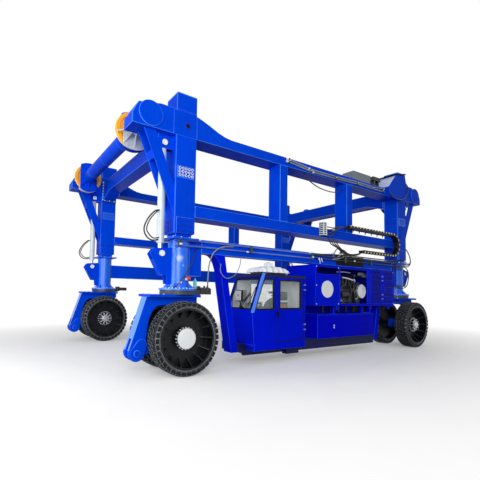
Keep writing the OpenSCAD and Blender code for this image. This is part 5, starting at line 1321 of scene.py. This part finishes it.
# the skid's dark navy is painted shade below the platform
skid = Shape()
skid.slab((-2.36, -2.640, 0.180), (2.50, -2.560, 0.262))
skid.slab((-2.36, -2.140, 0.180), (2.50, -2.060, 0.262))
for k in range(9):
    skid.slab((-2.30 + k * 0.58, -2.570, 0.200), (-2.22 + k * 0.58, -2.130, 0.262))
skid.slab((-1.120, -2.700, 0.130), (-0.700, -2.560, 0.262))
for x in (-0.92, -0.90):
    skid.slab((x, -2.706, 0.140), (x + 0.012, -2.698, 0.250), mark=1)
settle(bevelled(skid.object("platform_skid", ["shadeNavy", "deepBlue"]), 0.004, rounds=1), "chassis")

# ---- louvres beside the engine

louvre = {"columns": ((2.040, 2.440), (2.640, 3.060)), "low": 1.395, "high": 2.225, "rows": 17}
for body, (x0, x1) in zip(("door", "wall"), louvre["columns"]):
    wide, mid = x1 - x0, (x0 + x1) / 2
    slat = Shape().prism([(-0.011, 0.0), (0.011, 0.0), (0.004, 0.016), (-0.004, 0.016)], 0, -wide / 2, wide / 2)
    # dark strips between the slats: painted shade in the louvre openings
    gap = Shape().slab((-wide / 2, -0.009, 0.0), (wide / 2, 0.009, 0.003))
    y = -2.909 if body == "door" else -2.902
    middle = at(mid, y, (louvre["low"] + louvre["high"]) / 2, (90, 0, 0))
    step = (louvre["high"] - louvre["low"]) / (louvre["rows"] - 1)
    made = Shape().mesh(gridOf(slat, 1, louvre["rows"], 0.0, louvre["high"] - louvre["low"]), middle)
    made.mesh(gridOf(gap, 1, louvre["rows"], 0.0, louvre["high"] - louvre["low"]), middle @ at(0, step / 2, 0), mark=1)
    settle(bevelled(made.object(body + "_louvre", ["bodyPaint", "blackTrimAndShade"]), 0.002, rounds=1),
           "engine_door" if body == "door" else "chassis")

# ---- engine details

engine = Shape()
engineLight = Shape()
for k, (x, z, r) in enumerate(((1.58, 1.42, 0.10), (1.56, 1.66, 0.07), (1.60, 1.86, 0.055))):
    engine.lathe([(0, -0.02), (r, -0.02), (r, -0.008), (r * 0.86, 0.0), (r, 0.008), (r, 0.02), (r * 0.5, 0.024), (0, 0.02)],
                 sides=32, place=at(x, -2.74, z, (90, 0, 0)))
for k in range(6):
    engine.slab((0.80 + k * 0.125, -2.66, 1.80), (0.87 + k * 0.125, -2.60, 1.94))
    engine.lathe([(0, 0), (0.024, 0), (0.024, 0.09), (0, 0.1)], sides=12, place=at(0.835 + k * 0.125, -2.63, 1.93))
engine.slab((0.68, -2.70, 1.50), (0.86, -2.52, 1.78))
engine.lathe([(0, -0.16), (0.085, -0.16), (0.09, -0.15), (0.09, 0.15), (0.07, 0.17), (0, 0.17)], sides=28,
             place=at(1.02, -2.72, 1.56, (0, 90, 0)))
engine.lathe([(0, 0), (0.055, 0), (0.06, 0.01), (0.06, 0.16), (0.045, 0.18), (0, 0.18)], sides=24, place=at(1.26, -2.70, 1.34))
for x in (0.72, 1.36, 1.70):
    engine.slab((x, -2.80, 2.06), (x + 0.05, -2.10, 2.12))
settle(bevelled(engine.object("engine_parts", ["engineMetal"]), 0.004, rounds=1), "chassis")
face = at(1.61, -2.850, 1.662, (90, 0, 0))
engineLight.lathe([(0, 0), (0.178, 0), (0.190, 0.004), (0.190, 0.014), (0.176, 0.020), (0.150, 0.008), (0.120, 0.012),
                   (0.112, 0.004), (0.06, 0.012), (0.02, 0.014), (0, 0.014)], sides=48, place=face)
engineLight.lathe([(0, -0.05), (0.186, -0.05), (0.188, -0.004), (0, 0.0)], sides=48, place=face)
for start, end, r in (((0.86, -2.78, 2.02), (1.28, -2.80, 1.96), 0.022), ((1.30, -2.80, 1.98), (1.40, -2.76, 1.90), 0.03),
                      ((0.68, -2.80, 1.42), (0.86, -2.80, 1.37), 0.014), ((1.42, -2.80, 1.44), (1.55, -2.79, 1.50), 0.014),
                      ((0.66, -2.76, 2.16), (1.24, -2.76, 2.16), 0.012)):
    engineLight.mesh(hose([start, ((start[0] + end[0]) / 2, start[1] - 0.01, (start[2] + end[2]) / 2 + 0.01), end], r))
settle(engineLight.object("engine_bright_parts", ["boltZinc"]), "chassis")
for k, path in enumerate((((0.70, -2.78, 1.48), (0.74, -2.82, 1.72), (0.92, -2.82, 1.84), (1.05, -2.78, 2.00)),
                          ((1.24, -2.74, 1.52), (1.30, -2.82, 1.74), (1.40, -2.82, 1.82), (1.52, -2.76, 1.74)),
                          ((0.78, -2.76, 1.36), (1.00, -2.84, 1.40), (1.22, -2.82, 1.62), (1.18, -2.76, 1.90)),
                          ((1.40, -2.76, 1.36), (1.36, -2.82, 1.50), (1.34, -2.80, 1.76), (1.48, -2.70, 2.06)),
                          ((0.64, -2.70, 1.34), (0.66, -2.80, 1.70), (0.70, -2.80, 1.98), (0.92, -2.70, 2.08)))):
    cable("engine_hose_" + "abcde"[k], "chassis", path, (0.020, 0.016, 0.013, 0.022, 0.011)[k])
shelf = Shape().slab((1.845, -2.62, 2.070), (2.250, -2.58, 2.200))
settle(bevelled(shelf.object("bay_beige_box", ["wallPanel"]), 0.006), "chassis")
print("engine details made")

# ---- pipes, clamps and hoses

pipes, clamps, fittings = Shape(), Shape(), Shape()
for z in (2.572, 2.462):
    run = [(-4.180, -2.745, z - 0.030), (-3.740, -2.735, z - 0.010), (-3.55, -2.672, z), (-2.2, -2.668, z), (-0.18, -2.668, z)]
    pipes.mesh(hose(run, 0.019, smooth=False))
settle(pipes.object("sill_pipes", ["pipeBlue"]), "chassis")
dark = Shape()
for z, shift in ((2.640, 0.0), (2.572, 0.002), (2.490, 0.0)):
    dark.mesh(hose([(-0.18, -2.668, min(z, 2.572)), (0.5, -2.672, z - 0.02), (1.2, -2.672, z), (2.4, -2.672, z),
                    (3.55, -2.690, z), (3.740, -2.740 + shift, z), (4.160, -2.750 + shift, z)], 0.017, smooth=False))
settle(dark.object("sill_hoses", ["hoseRubber"]), "chassis")
for x, y in ((-4.075, -2.745), (-2.217, -2.668), (-0.192, -2.668), (1.150, -2.668), (2.350, -2.668)):
    clamps.slab((x - 0.028, y - 0.030, 2.430), (x + 0.028, y + 0.030, 2.604))
settle(bevelled(clamps.object("sill_clamps", ["greenClamp"]), 0.006), "chassis")
for x, y, z in ((-4.06, -2.775, 2.470), (-2.327, -2.690, 2.456), (-0.288, -2.690, 2.602), (0.055, -2.690, 2.462),
                (-0.191, -2.700, 2.495), (-4.03, -2.735, 1.730), (-3.90, -2.755, 1.790)):
    fittings.lathe([(0, -0.03), (0.016, -0.03), (0.022, -0.02), (0.022, 0.02), (0.014, 0.032), (0, 0.034)], sides=6,
                   place=at(x, y, z, (0, 90, 0)))
fittings.prism([(0.020, 2.500), (0.060, 2.500), (0.096, 2.350), (0.072, 2.350)], 1, -2.706, -2.698)
fittings.prism([(0.110, 2.490), (0.150, 2.490), (0.172, 2.390), (0.150, 2.390)], 1, -2.706, -2.698)
for x, z in ((0.600, 2.653), (1.482, 2.636), (1.560, 2.504), (0.889, 2.650)):
    fittings.lathe([(0, -0.03), (0.018, -0.03), (0.024, -0.02), (0.024, 0.02), (0, 0.03)], sides=8,
                   place=at(x, -2.684, z, (0, 90, 0)))
settle(bevelled(fittings.object("pipe_fittings", ["whitePaint"]), 0.002), "chassis")
manifold = Shape().slab((0.800, -2.652, 2.360), (2.020, -2.636, 2.624))
for k in range(6):
    manifold.slab((0.90 + k * 0.19, -2.662, 2.385), (1.00 + k * 0.19, -2.650, 2.425))
settle(bevelled(manifold.object("sill_manifold", ["blackTrimAndShade"]), 0.003, rounds=1), "chassis")

# valve block, caps and blocks by the near left column
valve, cyan, orange = Shape(), Shape(), Shape()
for low, high in (((-3.98, -2.80, 1.50), (-3.78, -2.62, 1.60)), ((-3.74, -2.78, 1.46), (-3.60, -2.60, 1.58)),
                  ((-3.55, -2.72, 1.50), (-3.30, -2.58, 1.62)), ((-4.10, -2.82, 1.50), (-4.00, -2.70, 1.56))):
    valve.slab(low, high)
for x, z in ((-3.92, 1.62), (-3.86, 1.62), (-3.68, 1.60), (-3.46, 1.64), (-3.38, 1.64)):
    valve.lathe([(0, -0.03), (0.02, -0.03), (0.02, 0.02), (0.012, 0.04), (0, 0.04)], sides=12, place=at(x, -2.70, z))
settle(bevelled(valve.object("valve_block", ["blackPaint", "blackEdgeHighlight"]), 0.006, 1), "chassis")
orange.lathe([(0, -0.030), (0.034, -0.030), (0.040, -0.022), (0.040, 0.012), (0.030, 0.026), (0, 0.030)], sides=20,
             place=at(-3.869, -2.775, 1.810, (90, 0, 0)))
orange.slab((-3.90, -2.75, 1.792), (-3.84, -2.70, 1.828))
settle(bevelled(orange.object("valve_cap", ["brassFitting"]), 0.003), "chassis")
cyan.slab((-3.728, -2.770, 1.630), (-3.678, -2.700, 1.780))
cyan.slab((-3.714, -2.760, 1.780), (-3.692, -2.715, 1.815))
settle(bevelled(cyan.object("sensor_block", ["cyanBlock"]), 0.006), "chassis")

cable("leg_hose", "chassis", [(-2.70, -2.662, 2.545), (-3.02, -2.700, 2.500), (-3.26, -2.72, 2.360), (-3.37, -2.73, 2.10),
                              (-3.385, -2.72, 1.86), (-3.36, -2.66, 1.66), (-3.36, -2.56, 1.630)], 0.014, "hoseGrey")
cable("leg_cable", "chassis", [(-3.02, -2.650, 2.150), (-3.06, -2.70, 1.980), (-2.925, -2.73, 1.850),
                               (-2.70, -2.73, 1.930), (-2.56, -2.70, 2.120), (-2.48, -2.655, 2.330)], 0.008, "hoseGrey")
cable("column_cable", "chassis", [(-3.62, -2.655, 2.420), (-3.72, -2.72, 2.26), (-3.84, -2.76, 2.04),
                                  (-3.98, -2.77, 1.83), (-4.10, -2.74, 1.680), (-4.12, -2.70, 1.625)], 0.010)
cable("right_hose_outer", "chassis", [(3.55, -2.655, 2.440), (3.80, -2.78, 2.480), (4.05, -2.80, 2.430), (4.20, -2.79, 2.280),
                                      (4.20, -2.78, 2.050), (4.08, -2.78, 1.860), (3.84, -2.76, 1.800), (3.56, -2.655, 1.880)],
      0.014)
cable("right_hose_inner", "chassis", [(3.55, -2.655, 2.380), (3.80, -2.77, 2.400), (4.00, -2.79, 2.350), (4.12, -2.78, 2.210),
                                      (4.11, -2.77, 2.040), (3.98, -2.77, 1.900), (3.80, -2.75, 1.870), (3.56, -2.655, 1.930)],
      0.012)
for k, (path, r) in enumerate((
        (((0.640, -2.655, 2.540), (0.700, -2.668, 2.680), (0.800, -2.672, 2.785), (0.930, -2.672, 2.770),
          (0.985, -2.672, 2.700), (0.930, -2.670, 2.620), (0.800, -2.668, 2.565), (0.700, -2.655, 2.530)), 0.015),
        (((0.620, -2.655, 2.490), (0.730, -2.668, 2.505), (0.948, -2.672, 2.550), (1.100, -2.674, 2.620),
          (1.143, -2.674, 2.710), (1.067, -2.672, 2.785), (0.960, -2.668, 2.730), (0.900, -2.655, 2.600)), 0.015),
        (((1.420, -2.655, 2.600), (1.372, -2.668, 2.640), (1.220, -2.672, 2.720), (1.080, -2.672, 2.780),
          (0.990, -2.668, 2.720), (0.960, -2.655, 2.600)), 0.013))):
    cable("coil_hose_" + "abc"[k], "chassis", path, r, "hoseGrey")
for name, (sx, sy) in corners.items():
    for k, (reach, drop, r) in enumerate(((0.0, 0.0, 0.015), (-0.045, 0.04, 0.012))):
        path = [(0.475, 0.035, 3.120), (0.575 + reach, 0.055, 3.080), (0.715 + reach, 0.070, 2.920), (0.790 + reach, 0.075, 2.730),
                (0.745 + reach, 0.070, 2.590 + drop), (0.620 + reach / 2, 0.050, 2.520 + drop), (0.462, 0.030, 2.545 + drop)]
        cable(name + "_cylinder_hose_" + "ab"[k], "upper_frame", [atCorner(sx, sy) @ Vector((x, y + k * 0.018, z)) for x, y, z in path], r)
cable("guard_hose", "upper_frame", [(3.06, -2.852, 4.730), (3.12, -2.872, 4.630), (3.30, -2.872, 4.556), (3.67, -2.872, 4.556),
                                    (3.90, -2.872, 4.680), (4.05, -2.872, 4.860), (4.07, -2.872, 5.020), (4.00, -2.852, 5.120)], 0.014)
cable("under_cable", "upper_frame", [(-0.46, -2.60, 4.620), (-0.26, -2.62, 4.480), (0.14, -2.62, 4.360), (0.62, -2.62, 4.335),
                                     (0.95, -2.61, 4.400), (1.150, -2.60, 4.500)], 0.014)
box = Shape().slab((2.63, -2.60, 5.065), (3.03, -2.40, 5.090))
box.slab((2.66, -2.58, 5.085), (3.02, -2.42, 5.190))
for x in (2.70, 2.90):
    box.slab((x, -2.585, 4.838), (x + 0.05, -2.415, 5.070))
settle(bevelled(box.object("chord_box", ["blackPaint", "blackEdgeHighlight"]), 0.008, 1), "upper_frame")
lid = Shape().prism([(3.372, 5.290), (3.945, 5.404), (3.945, 5.436), (3.360, 5.320)], 1, -2.880, -2.240)
settle(bevelled(lid.object("guard_lid", ["blackTrimAndShade"]), 0.004, rounds=1), "upper_frame")
back = [Vector((2.982 + 0.429 * t, 4.829 + 0.459 * t)) for t in (0.10, 0.96)]
back += [p + Vector((-0.0044, 0.0041)) for p in back[::-1]]
backPlate = Shape().prism([tuple(p) for p in back], 1, -2.846, -2.300)
settle(backPlate.object("guard_back_plate", ["palePlate"]), "upper_frame")
upper = Shape()
for path in (((-1.18, -2.752, 4.800), (-0.32, -2.752, 4.716), (0.64, -2.752, 4.724), (1.60, -2.752, 4.756), (2.35, -2.752, 4.752), (2.98, -2.752, 4.792)),
             ((-1.18, -2.752, 4.742), (-0.32, -2.752, 4.664), (0.64, -2.752, 4.668), (1.60, -2.752, 4.704), (2.35, -2.752, 4.696), (2.96, -2.752, 4.706))):
    upper.mesh(hose(path, 0.018, smooth=False))
settle(upper.object("chord_pipes", ["pipeGrey"]), "upper_frame")
clips, links = Shape(), Shape()
for x, z in ((-1.12, 4.768), (-0.34, 4.690), (0.64, 4.696), (1.60, 4.730), (2.34, 4.722), (2.86, 4.744)):
    clips.slab((x - 0.016, -2.776, z - 0.060), (x + 0.016, -2.726, z + 0.060))
    links.shape(smallBolt, at(x, -2.777, z, (90, 0, 0)))
for x, z in ((-1.18, 4.800), (-1.18, 4.742), (-0.42, 4.724), (-0.26, 4.660), (2.90, 4.784)):
    links.lathe([(0, -0.03), (0.022, -0.03), (0.027, -0.02), (0.027, 0.02), (0, 0.03)], sides=6, place=at(x, -2.752, z, (0, 90, 0)))
settle(bevelled(clips.object("chord_clips", ["blackPaint"]), 0.004), "upper_frame")
settle(links.object("chord_fittings", ["whitePaint"]), "upper_frame")
print("pipes made")

# ---- floor

ground = Shape().slab((-60, -60, -0.2), (60, 60, 0))
floor = ground.object("floor", ["floorPaint"])
floorTree = paints["floorPaint"].node_tree
flow = Flow(floorTree)
floorShader = floorTree.nodes["Principled BSDF"]
shade = floorShader.inputs["Base Color"].links[0].from_socket
seen = Flow(floorTree, seenDirectly(floorTree))
floorTree.links.new(seen.mix(tone(124, 124, 126), Flow(floorTree, shade)).socket, floorShader.inputs["Base Color"])
glow = flow.add("ShaderNodeEmission", None, {"Color": (1, 1, 1, 1), "Strength": 1.0})
spot = flow.add("ShaderNodeMapping", None, {"Vector": flow.add("ShaderNodeTexCoord", out="Object"), "Scale": (1.0, 1.5, 1.0)})
away = flow.add("ShaderNodeVectorMath", {"operation": "LENGTH"}, {0: spot}, out="Value")
blend = (away.step(6.0, 13.0) * 0.78 + 0.22) * seen
both = flow.add("ShaderNodeMixShader", None, {0: blend, 1: Flow(floorTree, floorShader.outputs[0]), 2: glow})
floorTree.links.new(both.socket, floorTree.nodes["Material Output"].inputs["Surface"])
